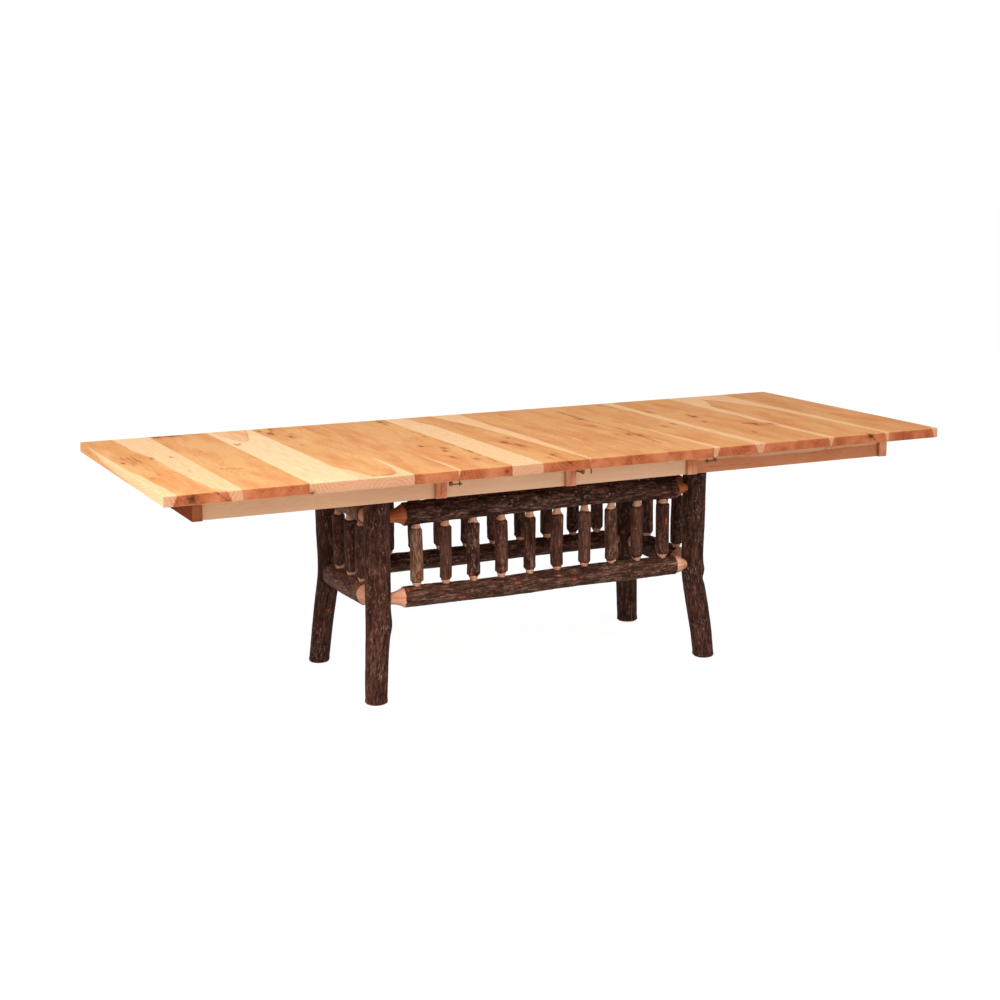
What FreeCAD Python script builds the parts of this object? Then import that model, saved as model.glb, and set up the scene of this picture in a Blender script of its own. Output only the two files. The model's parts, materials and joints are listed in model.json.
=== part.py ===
import FreeCAD, Part
import math
import os
import re
import Sketcher

# A rustic hickory extension table. Bark-covered legs, rails and spindles make a base that does not
# divide. The plank top is in four sections: two halves that slide apart on wooden runners, and two
# loose leaves between them, with a rack and pinion that keeps the halves level with each other.
# Lengths are millimetres. X runs along the top, Y across it and Z up from the floor, and the origin
# is on the floor under the middle of the top. The table is drawn open, with both leaves in.

SIZES = {
    # plank top
    "top_length": 2743.2,
    "top_width": 1066.8,
    "top_height": 792,
    "top_thickness": 33.7,
    "leaf_width": 457.2,
    "seam_gap": 0.5,
    "top_edge_ease": 5,
    "top_end_ease": 3,
    # rails and aprons under the top
    "apron_height": 76.3,
    "apron_thickness": 20,
    "apron_inset": 140.4,
    "end_rail_inset": 115.6,
    "end_rail_thickness": 32,
    "rail_end_inset": 128.4,
    "seam_block_thickness": 18,
    "seam_block_gap": 9.2,
    # base of logs, set a little off the middle of the top
    "base_shift_across": 7,
    "base_shift_along": -14,
    "leg_past_seam": 134.3,
    "leg_inset_across": 300.4,
    "leg_radius": 42,
    "leg_foot_round": 6,
    "foot_kick_along": 26.5,
    "foot_kick_across": 35,
    "long_rail_radius": 35,
    "upper_short_rail_radius": 30,
    "lower_short_rail_radius": 38,
    "upper_long_drop": 191,
    "upper_short_drop": 199,
    "long_rail_spacing": 270,
    "short_rail_spacing": 265,
    "long_tenon_radius": 19,
    "short_tenon_radius": 17,
    "tenon_reach": 20,
    "tenon_neck": 2,
    "peel_left": 61,
    "peel_right": 38,
    "peel_back": 50,
    "peel_short": 56,
    "glue_gap": 0.2,
    "blind_gap": 1,
    # spindles
    "spindle_radius": 21.3,
    "spindle_tenon_radius": 12.5,
    "spindle_reach": 12,
    "spindle_neck": 2.5,
    "spindle_shoulder": 15,
    # boards that join the tops of the legs, and their lag screws
    "cleat_thickness": 24,
    "cleat_width": 90,
    "cleat_overhang": 52,
    "lag_radius": 5,
    "lag_length": 70,
    "lag_head_radius": 9,
    "lag_head_height": 6,
    # wooden runners and slides
    "slide_height": 44,
    "slide_thickness": 22,
    "slide_gap": 0.8,
    "slide_top_gap": 1,
    "runner_place_share": 0.644,
    "runner_overhang": 50,
    "tongue_height": 10,
    "tongue_depth": 6,
    "tongue_clearance": 0.3,
    "slide_outer_inset": 191.6,
    "slide_inner_end": 60,
    # rack and pinion
    "gear_module": 4,
    "gear_thickness": 12,
    "gear_backlash": 0.3,
    "gear_root_gap": 1,
    "rack_back": 8,
    "rack_thickness": 11,
    "rack_reach": 70,
    "rack_tail": 475,
    "rack_lug_length": 60,
    "rack_lug_past_seam": 162.8,
    "hub_radius": 13,
    "hub_lift": 2.7,
    "pinion_float": 0.3,
    "bolt_radius": 6,
    "bolt_clearance": 0.05,
    "bolt_head_radius": 12,
    "bolt_head_height": 5.5,
    "bearer_width": 90,
    # hooks that hold the sections together
    "hook_inset": 20.4,
    "hook_setback": 17,
    "hook_reach": 30,
    "hook_level_drop": 14.3,
    "hook_thickness": 3,
    "hook_eye_radius": 6,
    "hook_arm_width": 9,
    "hook_head_radius": 8,
    "hook_screw_radius": 2.5,
    "hook_screw_head_radius": 4.5,
    "hook_screw_head_height": 2.5,
    "hook_bore_clearance": 0.05,
    "hook_end_gap": 0.4,
    "post_radius": 2.4,
    "post_clearance": 0.4,
    "post_drop": 18,
    # one overrun for every tool that cuts
    "overrun": 2,
}

DERIVED = {
    "underside": "top_height - top_thickness",
    "half_length": "top_length / 2",
    "half_width": "top_width / 2",
    "leg_spread_along": "leaf_width + leg_past_seam",
    "leg_spread_across": "half_width - leg_inset_across",
    "upper_long_level": "top_height - upper_long_drop",
    "upper_short_level": "top_height - upper_short_drop",
    "lower_long_level": "upper_long_level - long_rail_spacing",
    "lower_short_level": "upper_short_level - short_rail_spacing",
    "runner_offset": "leg_spread_across * runner_place_share",
    "slide_outer_face": "runner_offset + slide_gap + slide_thickness * 1.5",
    "seam_block_inner": "base_shift_across + slide_outer_face + seam_block_gap",
    "apron_foot": "underside - apron_height",
    "slide_foot": "underside - slide_height",
    "runner_head": "underside - slide_top_gap",
    "runner_foot": "runner_head - slide_height",
    "cleat_foot": "runner_foot - cleat_thickness",
    "rack_pitch": "gear_module * pi",
    "hook_line": "half_width - hook_inset",
    "hook_foot": "underside - hook_level_drop",
    "tongue_level": "underside - (slide_height + slide_top_gap) / 2",
    "rack_lug_far": "leaf_width + rack_lug_past_seam",
}

PINION_TEETH = 18
PRESSURE_ANGLE = 20
FLANK_STEPS = 2
HOOK_MOUTH_ANGLE = 50
HOOK_OPEN_ANGLE = 90

# Poles are drawn with flat sides, few enough to keep the whole table light.
LOG_SIDES = 12
SPINDLE_SIDES = 8
PEG_SIDES = 10
BOLT_HEAD_SIDES = 6

# Where each section's planks meet, as shares of the section's width from its left edge.
LEFT_PLANK_SHARES = (0, 0.2548, 0.4768, 0.6507, 0.842, 1)
LEFT_LEAF_PLANK_SHARES = (0, 0.40, 0.635, 1)
RIGHT_LEAF_PLANK_SHARES = (0, 0.33, 0.62, 1)
RIGHT_PLANK_SHARES = (0, 0.205, 0.51, 0.77, 1)

# Spindles along each side, as shares of the distance from the base's middle to a leg.
SPINDLE_SHARES = {
    "front": (-0.771, -0.598, -0.429, -0.257, -0.079, 0.093, 0.269, 0.443, 0.615, 0.786),
    "back": (-0.79, -0.617, -0.453, -0.284, -0.112, 0.068, 0.249, 0.433, 0.615, 0.784),
    "left": (-0.425, 0.03, 0.481),
    "right": (-0.515, -0.077, 0.356),
}
SPINDLE_GIRTH_SHARES = (1, 0.97, 1.02, 1, 0.96, 1.01, 0.98, 1.03, 1, 1.08)

# A leg from floor to top: share of its height, shares of the foot's kick along and across, and
# share of the leg's radius.
LEG_SHARES = {
    "front_left": ((0, 1, 1, 0.84), (0.2, 0.55, 0.5, 0.88), (0.38, 0.05, 0.05, 0.95),
                   (0.7, 0, 0, 1.01), (1, 0, 0, 1)),
    "front_right": ((0, 1, 1, 0.85), (0.22, 0.55, 0.5, 0.9), (0.41, -0.06, 0.03, 0.92),
                    (0.7, 0, 0, 0.94), (1, 0, 0, 0.96)),
    "back_left": ((0, 1, 1, 0.85), (0.2, 0.6, 0.5, 0.88), (0.31, 0.33, 0.2, 0.9),
                  (0.44, -0.14, 0.05, 0.92), (0.73, -0.12, 0, 0.97), (1, 0.04, 0, 0.99)),
    "back_right": ((0, 1, 1, 0.83), (0.24, 0.45, 0.5, 0.9), (0.4, 0, 0.05, 0.96),
                   (0.7, 0, 0, 1.01), (1, 0, 0, 1)),
}

# A rail from end to end of its bark: share of that length, shares of the rail's radius that its
# middle wanders sideways and up, and share of the rail's radius.
RAIL_SHARES = {
    "upper_front": ((0, 0, 0.06, 1.06), (0.35, 0.04, 0.08, 1.07), (0.7, -0.03, 0.15, 1.03), (1, 0, 0, 1)),
    "upper_back": ((0, 0, 0, 0.97), (0.4, -0.04, 0.04, 1), (0.75, 0.03, -0.03, 0.96), (1, 0, 0, 0.98)),
    "lower_front": ((0, 0, 0, 0.99), (0.3, -0.06, -0.06, 0.97), (0.65, 0.06, 0.05, 1), (1, 0, 0, 0.98)),
    "lower_back": ((0, 0, 0, 1.01), (0.3, 0.05, -0.04, 0.97), (0.7, -0.05, 0.03, 0.93), (1, 0, 0, 0.95)),
    "upper_left": ((0, 0, 0, 0.95), (0.5, 0.05, 0.04, 0.92), (1, 0, 0, 0.97)),
    "upper_right": ((0, 0, 0, 1), (0.5, -0.05, 0.03, 0.97), (1, 0, 0, 0.98)),
    "lower_left": ((0, 0, 0, 1), (0.5, -0.05, -0.04, 0.98), (1, 0, 0, 1)),
    "lower_right": ((0, 0, 0, 0.99), (0.5, 0.05, 0.03, 1.01), (1, 0, 0, 1)),
}

TURNS = {
    "x": FreeCAD.Rotation(FreeCAD.Vector(0, 1, 0), 90),
    "y": FreeCAD.Rotation(FreeCAD.Vector(1, 0, 0), -90),
    "z": FreeCAD.Rotation(),
}

doc = FreeCAD.newDocument("hickory_table")
sheet = doc.addObject("Spreadsheet::Sheet", "Sizes")
kept = []


def fill_sheet():
    """One cell for each driving size, then one for each size worked out from them."""
    cells = list(SIZES.items()) + [(name, "=" + text) for name, text in DERIVED.items()]
    for row, (name, content) in enumerate(cells, 1):
        sheet.set(f"A{row}", str(content))
        sheet.setAlias(f"A{row}", name)
    doc.recompute()


def rule(text):
    """The text of a formula with each size's name pointed at the sheet."""
    def point(found):
        word = found.group()
        return "Sizes." + word if word in SIZES or word in DERIVED else word
    return re.sub(r"[a-z_]+", point, text)


def number(text):
    return float(sheet.evalExpression(rule(text)))


def bind(item, **rules):
    for name, text in rules.items():
        item.setExpression(name, rule(text))


def place(item, x, y, z, turn=None):
    item.Placement = FreeCAD.Placement(FreeCAD.Vector(), turn or FreeCAD.Rotation())
    for axis, text in zip("xyz", (x, y, z)):
        item.setExpression("Placement.Base." + axis, rule(text))


def keep(item, label):
    item.Label = label
    kept.append(item)


def block(name, x, y, z):
    """A box between two formulas on each axis."""
    box = doc.addObject("Part::Box", name)
    for side, (low, high) in zip(("Length", "Width", "Height"), (x, y, z)):
        bind(box, **{side: f"({high}) - ({low})"})
    place(box, x[0], y[0], z[0])
    return box


def rod(name, radius, start, end, cross, axis):
    """A round rod along an axis, from start to end, with its middle at the cross formulas."""
    cylinder = doc.addObject("Part::Cylinder", name)
    bind(cylinder, Radius=radius, Height=f"({end}) - ({start})")
    place(cylinder, *along(axis, start, cross), TURNS[axis])
    return cylinder


def peg(name, sides, radius, start, end, cross, axis):
    """A straight many-sided peg; radius reaches its corners, which lie as on a pole's rings."""
    prism = doc.addObject("Part::Prism", name)
    prism.Polygon = sides
    bind(prism, Circumradius=radius, Height=f"({end}) - ({start})")
    place(prism, *along(axis, start, cross), TURNS[axis])
    return prism


def along(axis, level, cross):
    """Three formulas: the level on the axis, and the cross pair on the other two in X, Y, Z order."""
    others = iter(cross)
    return [level if name == axis else next(others) for name in "xyz"]


def fuse(name, items):
    joined = doc.addObject("Part::MultiFuse", name)
    joined.Shapes = items
    joined.Refine = True
    return joined


def group(name, items):
    together = doc.addObject("Part::Compound", name)
    together.Links = items
    return together


def cut(name, base, tool):
    rest = doc.addObject("Part::Cut", name)
    rest.Base = base
    rest.Tool = tool
    return rest


def pole(name, axis, sides, rings):
    """A grown or peeled pole: runs of flat faces between many-sided rings. Each ring is given by its
    level along the axis, its two cross formulas and its radius to the corners."""
    hoops = []
    for level, cross, radius in rings:
        middle = FreeCAD.Vector(*[number(text) for text in along(axis, level, cross)])
        corner = FreeCAD.Vector(number(radius), 0, 0)
        steps = [FreeCAD.Rotation(FreeCAD.Vector(0, 0, 1), 360 * step / sides) for step in range(sides)]
        hoop = [middle + TURNS[axis] * (step * corner) for step in steps]
        hoops.append(hoop + hoop[:1])
    outlines = [hoops[0], hoops[-1]]
    for low, high in zip(hoops, hoops[1:]):
        for a, b, c, d in zip(low, low[1:], high[1:], high):
            outlines.append([a, b, c, d, a])
    shell = Part.makeShell([Part.Face(Part.makePolygon(points)) for points in outlines])
    shell.sewShape()
    item = doc.addObject("Part::Feature", name)
    item.Shape = Part.makeSolid(shell)
    return item


def grown(start, end, middle, drift, radius, shares):
    """Rings of a grown pole whose middle wanders off the straight, from a table of shares."""
    rings = []
    for station, first, second, girth in shares:
        level = f"{start} + {station} * (({end}) - ({start}))"
        cross = (f"{middle[0]} + {first} * ({drift[0]})", f"{middle[1]} + {second} * ({drift[1]})")
        rings.append((level, cross, f"{girth} * ({radius})"))
    return rings


def outline(body, plane, points):
    """A closed sketch of straight lines on one of the body's own planes, each corner held by two
    formulas."""
    sketch = body.newObject("Sketcher::SketchObject", body.Name + "_outline")
    origin_plane = [item for item in body.Origin.OriginFeatures if item.Role == plane][0]
    sketch.AttachmentSupport = [(origin_plane, "")]
    sketch.MapMode = "FlatFace"
    corners = [FreeCAD.Vector(number(u), number(v)) for u, v in points]
    ends = corners[1:] + corners[:1]
    sketch.addGeometry([Part.LineSegment(a, b) for a, b in zip(corners, ends)])
    for here in range(len(points)):
        there = (here + 1) % len(points)
        sketch.addConstraint(Sketcher.Constraint("Coincident", here, 2, there, 1))
    for corner, formulas in enumerate(points):
        for kind, own_axis, text in zip(("DistanceX", "DistanceY"), (-2, -1), formulas):
            if text == "0":
                sketch.addConstraint(Sketcher.Constraint("PointOnObject", corner, 1, own_axis))
            else:
                held = Sketcher.Constraint(kind, -1, 1, corner, 1, number(text))
                index = sketch.addConstraint(held)
                sketch.setExpression(f"Constraints[{index}]", rule(text))
    return sketch


def bar(name, points, start, end):
    """A straight bar along X with the outline's section, drawn across (Y) and up (Z)."""
    body = doc.addObject("PartDesign::Body", name)
    sketch = outline(body, "YZ_Plane", points)
    pad = body.newObject("PartDesign::Pad", name + "_pad")
    pad.Profile = sketch
    bind(pad, Length=f"({end}) - ({start})")
    place(body, start, "0", "0")
    return body


# Plank top: each section is boards glued edge to edge, with the grain running across the table and
# the outer edges eased.

def plank(name, start, end, outer):
    """One board across the table. outer is -1 or 1 where its end face is an end of the table."""
    ease, half_ease = "top_edge_ease", "top_edge_ease * (1 - sqrt(0.5))"
    low, high, wide = "underside", "top_height", "half_width"
    points = (
        (f"-{wide} + {ease}", low), (f"{wide} - {ease}", low),
        (f"{wide} - {half_ease}", f"{low} + {half_ease}"), (wide, f"{low} + {ease}"),
        (wide, f"{high} - {ease}"), (f"{wide} - {half_ease}", f"{high} - {half_ease}"),
        (f"{wide} - {ease}", high), (f"-{wide} + {ease}", high),
        (f"-{wide} + {half_ease}", f"{high} - {half_ease}"), (f"-{wide}", f"{high} - {ease}"),
        (f"-{wide}", f"{low} + {ease}"), (f"-{wide} + {half_ease}", f"{low} + {half_ease}"),
    )
    body = bar(name, points, start, end)
    if not outer:
        return body
    doc.recompute()
    raw = body.Tip
    boundary = number(f"({end}) - ({start})") if outer > 0 else 0
    reach = number(ease)
    edges = []
    for count, edge in enumerate(raw.Shape.Edges, 1):
        box = edge.BoundBox
        at_end = max(abs(box.XMin - boundary), abs(box.XMax - boundary)) < reach / 2
        if at_end and box.YLength > reach:
            edges.append(f"Edge{count}")
    chamfer = body.newObject("PartDesign::Chamfer", name + "_ease")
    chamfer.Base = (raw, edges)
    bind(chamfer, Size="top_end_ease")
    return body


def section(label, start, end, plank_shares, outer_plank=None, outer=0):
    planks = []
    width = f"(({end}) - ({start}))"
    for count, (low, high) in enumerate(zip(plank_shares, plank_shares[1:])):
        edge = outer if count == outer_plank else 0
        planks.append(plank(f"{label}_{count + 1}", f"{start} + {low} * {width}",
                            f"{start} + {high} * {width}", edge))
    keep(group(label, planks), label)


def make_top():
    last = len(RIGHT_PLANK_SHARES) - 2
    section("left_top_boards", "-half_length", "-leaf_width - seam_gap / 2", LEFT_PLANK_SHARES, 0, -1)
    section("left_leaf_boards", "-leaf_width + seam_gap / 2", "-seam_gap / 2", LEFT_LEAF_PLANK_SHARES)
    section("right_leaf_boards", "seam_gap / 2", "leaf_width - seam_gap / 2", RIGHT_LEAF_PLANK_SHARES)
    section("right_top_boards", "leaf_width + seam_gap / 2", "half_length", RIGHT_PLANK_SHARES, last, 1)


# Aprons, end rails and seam blocks under each section. A block's end grain stands a little proud of
# the apron, and the two blocks at a seam butt together.

def mirrored(x, side):
    """A pair of formulas along X, as given for the right side or turned over for the left."""
    return x if side > 0 else (f"-({x[1]})", f"-({x[0]})")


def apron_pair(label, x):
    depth = ("half_width - apron_inset - apron_thickness", "half_width - apron_inset")
    for end_name, side in (("front", -1), ("back", 1)):
        name = f"{label}_{end_name}"
        keep(block(name, x, mirrored(depth, side), ("apron_foot", "underside")), name)


def seam_blocks(label, starts):
    """Blocks at the section's edges, in front of and behind the slides; starts are X formulas."""
    blocks = []
    reach = ("seam_block_inner", "half_width - rail_end_inset")
    for count, start in enumerate(starts):
        for side in (-1, 1):
            x = (start, f"{start} + seam_block_thickness")
            name = f"{label}_{count}_{side + 1}"
            blocks.append(block(name, x, mirrored(reach, side), ("apron_foot", "underside")))
    keep(group(label, blocks), label)


def make_aprons():
    end_rail = ("half_length - end_rail_inset - end_rail_thickness", "half_length - end_rail_inset")
    reach = ("-(half_width - rail_end_inset)", "half_width - rail_end_inset")
    inner = "leaf_width + seam_gap / 2"
    for label, side in (("left", -1), ("right", 1)):
        keep(block(f"{label}_end_rail", mirrored(end_rail, side), reach, ("apron_foot", "underside")),
             f"{label}_end_rail")
        run = (f"{inner} + seam_block_thickness", end_rail[0])
        apron_pair(f"{label}_apron", mirrored(run, side))
        seam = mirrored((inner, f"{inner} + seam_block_thickness"), side)
        seam_blocks(f"{label}_seam_blocks", (seam[0],))
        run = ("seam_gap / 2 + seam_block_thickness", "leaf_width - seam_gap / 2 - seam_block_thickness")
        apron_pair(f"{label}_leaf_apron", mirrored(run, side))
        seams = [mirrored(("seam_gap / 2", "seam_gap / 2 + seam_block_thickness"), side),
                 mirrored(("leaf_width - seam_gap / 2 - seam_block_thickness", "leaf_width - seam_gap / 2"),
                          side)]
        seam_blocks(f"{label}_leaf_seam_blocks", [pair[0] for pair in seams])


# Base: four legs, eight rails and twenty-six spindles, joined by round tenons. The ends of rails and
# spindles are peeled and tapered like a pencil.

def leg_place(side_along, side_across):
    return (f"(base_shift_along + {side_along} * leg_spread_along)",
            f"(base_shift_across + {side_across} * leg_spread_across)")


LEG_SIDES = {"front_left": (-1, -1), "front_right": (1, -1), "back_left": (-1, 1), "back_right": (1, 1)}


def make_legs():
    for corner, (side_along, side_across) in LEG_SIDES.items():
        x, y = leg_place(side_along, side_across)
        kick = (f"{side_along} * foot_kick_along", f"{side_across} * foot_kick_across")
        shares = LEG_SHARES[corner]
        name = "leg_" + corner
        rings = grown("leg_foot_round", "cleat_foot", (x, y), kick, "leg_radius", shares)
        sole = ("0", rings[0][1], f"{rings[0][2]} - leg_foot_round")
        trunk = pole(name + "_pole", "z", LOG_SIDES, [sole] + rings)
        holes = []
        for kind, axis, side in (("long", "x", side_along), ("short", "y", side_across)):
            middle, other = (x, y) if axis == "x" else (y, x)
            near = f"{middle} - {side} * (tenon_reach - blind_gap)"
            far = f"{middle} - {side} * (leg_radius + {kind}_tenon_radius + overrun)"
            low, high = (far, near) if side > 0 else (near, far)
            for tier in ("upper", "lower"):
                holes.append(peg(f"{name}_{tier}_{kind}_hole", LOG_SIDES, f"{kind}_tenon_radius + glue_gap",
                                 low, high, (other, f"{tier}_{kind}_level"), axis))
        holes.append(peg(name + "_lag_hole", PEG_SIDES, "lag_radius + glue_gap",
                         "runner_foot - lag_length - blind_gap", "cleat_foot + overrun", (x, y), "z"))
        keep(cut(name, trunk, group(name + "_holes", holes)), name)


def side_line(side):
    """A side of the base: the axis its rails run along, the base's shift and spread on that axis,
    the formula of the side's line on the other axis, and the kind of its rails."""
    outward = -1 if side in ("front", "left") else 1
    if side in ("front", "back"):
        line = f"(base_shift_across + {outward} * leg_spread_across)"
        return "x", "base_shift_along", "leg_spread_along", line, "long"
    line = f"(base_shift_along + {outward} * leg_spread_along)"
    return "y", "base_shift_across", "leg_spread_across", line, "short"


def rail_radius(tier, kind):
    """The size that the long rails share, or that of the upper or the lower short rails."""
    return "long_rail_radius" if kind == "long" else f"{tier}_short_rail_radius"


def spindle_spots(side, spindle_shares):
    axis, shift, spread, line, _ = side_line(side)
    stations = [f"{shift} + {share} * {spread}" for share in spindle_shares]
    return [(station, line) if axis == "x" else (line, station) for station in stations]


def make_rail(side, tier, spindle_shares):
    """One rail between two legs: tenon, peeled cone, bark-covered pole, cone and tenon."""
    name = f"{tier}_rail_{side}"
    axis, shift, spread, line, kind = side_line(side)
    level = f"{tier}_{kind}_level"
    radius = rail_radius(tier, kind)
    tenon = f"{kind}_tenon_radius"
    peels = {"front": ("peel_left", "peel_right"), "back": ("peel_back", "peel_back")}
    first_peel, last_peel = peels.get(side, ("peel_short", "peel_short"))
    neck = "leg_radius + tenon_neck"
    first = f"({shift} - {spread})"
    last = f"({shift} + {spread})"
    shares = RAIL_SHARES[f"{tier}_{side}"]
    middle = (line, level)
    bark = (f"({first} + {neck} + {first_peel})", f"({last} - ({neck}) - {last_peel})")
    rings = [(f"{first} + tenon_reach", middle, tenon), (f"{first} + {neck}", middle, tenon)]
    rings += grown(*bark, middle, (radius, radius), radius, shares)
    rings += [(f"{last} - ({neck})", middle, tenon), (f"{last} - tenon_reach", middle, tenon)]
    stick = pole(name + "_pole", axis, LOG_SIDES, rings)
    deep, clear = "spindle_reach - blind_gap", f"{radius} + spindle_neck + overrun"
    ends = [f"{level} + {deep}", f"{level} + {clear}"]
    if tier == "upper":
        ends = [f"{level} - ({clear})", f"{level} - ({deep})"]
    holes = [peg(f"{name}_hole_{count}", SPINDLE_SIDES, "spindle_tenon_radius + glue_gap", *ends, spot, "z")
             for count, spot in enumerate(spindle_spots(side, spindle_shares))]
    keep(cut(name, stick, group(name + "_holes", holes)), name)


def make_spindles(side, spindle_shares):
    """The spindles of one side, each turned down to a round tenon at both ends."""
    kind = side_line(side)[-1]
    low, high = f"lower_{kind}_level", f"upper_{kind}_level"
    foot = f"{low} + {rail_radius('lower', kind)} + spindle_neck"
    head = f"{high} - {rail_radius('upper', kind)} - spindle_neck"
    spindles = []
    for count, spot in enumerate(spindle_spots(side, spindle_shares)):
        girth = f"{SPINDLE_GIRTH_SHARES[count]} * spindle_radius"
        rings = [(level, spot, width) for level, width in (
            (f"{low} + spindle_reach", "spindle_tenon_radius"),
            (foot, "spindle_tenon_radius"),
            (f"{foot} + spindle_shoulder", girth),
            (f"{head} - spindle_shoulder", girth),
            (head, "spindle_tenon_radius"),
            (f"{high} - spindle_reach", "spindle_tenon_radius"),
        )]
        spindles.append(pole(f"spindle_{side}_{count + 1}", "z", SPINDLE_SIDES, rings))
    keep(group(f"spindles_{side}", spindles), f"spindles_{side}")


def make_sides():
    for side, spindle_shares in SPINDLE_SHARES.items():
        make_rail(side, "upper", spindle_shares)
        make_rail(side, "lower", spindle_shares)
        make_spindles(side, spindle_shares)


# Boards on the tops of the legs, which carry the fixed runners, with a lag screw into each leg.

def make_cleats():
    reach = "(leg_spread_across + cleat_overhang)"
    for label, side in (("left", -1), ("right", 1)):
        middle = f"base_shift_along + {side} * leg_spread_along"
        name = f"leg_cleat_{label}"
        board = block(name + "_board", (f"{middle} - cleat_width / 2", f"{middle} + cleat_width / 2"),
                      (f"base_shift_across - {reach}", f"base_shift_across + {reach}"),
                      ("cleat_foot", "runner_foot"))
        holes = [peg(f"{name}_hole_{across + 1}", PEG_SIDES, "lag_radius + glue_gap",
                     "cleat_foot - overrun", "runner_foot + overrun", leg_place(side, across), "z")
                 for across in (-1, 1)]
        keep(cut(name, board, group(name + "_holes", holes)), name)
    screws = []
    for corner, sides in LEG_SIDES.items():
        spot = leg_place(*sides)
        shank = peg(f"lag_{corner}_shank", PEG_SIDES, "lag_radius", "runner_foot - lag_length",
                    "runner_foot", spot, "z")
        head = peg(f"lag_{corner}_head", BOLT_HEAD_SIDES, "lag_head_radius", "runner_foot",
                   "runner_foot + lag_head_height", spot, "z")
        screws.append(fuse("lag_" + corner, [shank, head]))
    keep(group("leg_cleat_screws", screws), "leg_cleat_screws")


# Runners and slides: each fixed runner has a groove along both faces, and a slide on either side of
# it hangs from one half of the top with its tongue in the groove.

def make_runners():
    lip = "tongue_height / 2 + tongue_clearance"
    for label, side in (("front", -1), ("back", 1)):
        middle = f"base_shift_across + {side} * runner_offset"
        out = f"{middle} + slide_thickness / 2"
        back = f"{middle} - slide_thickness / 2"
        deep = "tongue_depth + tongue_clearance"
        points = (
            (back, "runner_foot"), (out, "runner_foot"),
            (out, f"tongue_level - ({lip})"), (f"{out} - ({deep})", f"tongue_level - ({lip})"),
            (f"{out} - ({deep})", f"tongue_level + {lip}"), (out, f"tongue_level + {lip}"),
            (out, "runner_head"), (back, "runner_head"),
            (back, f"tongue_level + {lip}"), (f"{back} + {deep}", f"tongue_level + {lip}"),
            (f"{back} + {deep}", f"tongue_level - ({lip})"), (back, f"tongue_level - ({lip})"),
        )
        name = f"fixed_runner_{label}"
        reach = "(leg_spread_along + runner_overhang)"
        keep(bar(name, points, f"base_shift_along - {reach}", f"base_shift_along + {reach}"), name)


def make_slides():
    """The left half's slides run outside the fixed runners and the right half's inside them."""
    for half, half_side, order in (("left", -1, 1), ("right", 1, -1)):
        for label, side in (("front", -1), ("back", 1)):
            toward = -side * order
            step = f"(slide_thickness + slide_gap) * {side * order}"
            middle = f"base_shift_across + {side} * runner_offset + {step}"
            face = f"{middle} + {toward} * slide_thickness / 2"
            back = f"{middle} - ({toward}) * slide_thickness / 2"
            tip = f"{face} + {toward} * (slide_gap + tongue_depth)"
            points = (
                (back, "slide_foot"), (face, "slide_foot"),
                (face, "tongue_level - tongue_height / 2"), (tip, "tongue_level - tongue_height / 2"),
                (tip, "tongue_level + tongue_height / 2"), (face, "tongue_level + tongue_height / 2"),
                (face, "underside"), (back, "underside"),
            )
            name = f"{half}_slide_{label}"
            run = mirrored(("slide_inner_end", "half_length - slide_outer_inset"), half_side)
            keep(bar(name, points, *run), name)


# Rack and pinion: the pinion turns on a bolt through a board between the runners, and each half has
# a rack, so that pulling one half moves the other as far.

def gear_sizes():
    scale = number("gear_module")
    pitch_radius = scale * PINION_TEETH / 2
    return scale, pitch_radius, math.radians(PRESSURE_ANGLE)


def pinion_outline():
    """Wire of the toothed rim: root arcs, flanks on the involute of the base circle, tip arcs.
    A tooth space points along Y on both sides of the middle."""
    scale, pitch_radius, pressure = gear_sizes()
    base_radius = pitch_radius * math.cos(pressure)
    tip_radius = pitch_radius + scale
    root_radius = pitch_radius - scale - number("gear_root_gap")
    half_tooth = (scale * math.pi / 2 - number("gear_backlash") / 2) / (2 * pitch_radius)
    start_angle = half_tooth + math.tan(pressure) - pressure

    def flank(radius):
        roll = math.sqrt(max((radius / base_radius) ** 2 - 1, 0))
        return start_angle - (roll - math.atan(roll))

    def spot(radius, angle):
        return FreeCAD.Vector(radius * math.sin(angle), radius * math.cos(angle), 0)

    pitch_angle = 2 * math.pi / PINION_TEETH
    rise = tip_radius - base_radius
    radii = [base_radius + rise * step / FLANK_STEPS for step in range(FLANK_STEPS + 1)]
    edges = []
    for tooth in range(PINION_TEETH):
        middle = (tooth + 0.5) * pitch_angle
        rising = [spot(root_radius, middle - start_angle)]
        rising += [spot(radius, middle - flank(radius)) for radius in radii]
        falling = [spot(radius, middle + flank(radius)) for radius in reversed(radii)]
        falling.append(spot(root_radius, middle + start_angle))
        for a, b in zip(rising, rising[1:]):
            edges.append(Part.makeLine(a, b))
        edges.append(Part.Arc(rising[-1], spot(tip_radius, middle), falling[0]).toShape())
        for a, b in zip(falling, falling[1:]):
            edges.append(Part.makeLine(a, b))
        following = middle + pitch_angle
        valley = spot(root_radius, middle + pitch_angle / 2)
        edges.append(Part.Arc(falling[-1], valley, spot(root_radius, following - start_angle)).toShape())
    return Part.Wire(edges)


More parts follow.
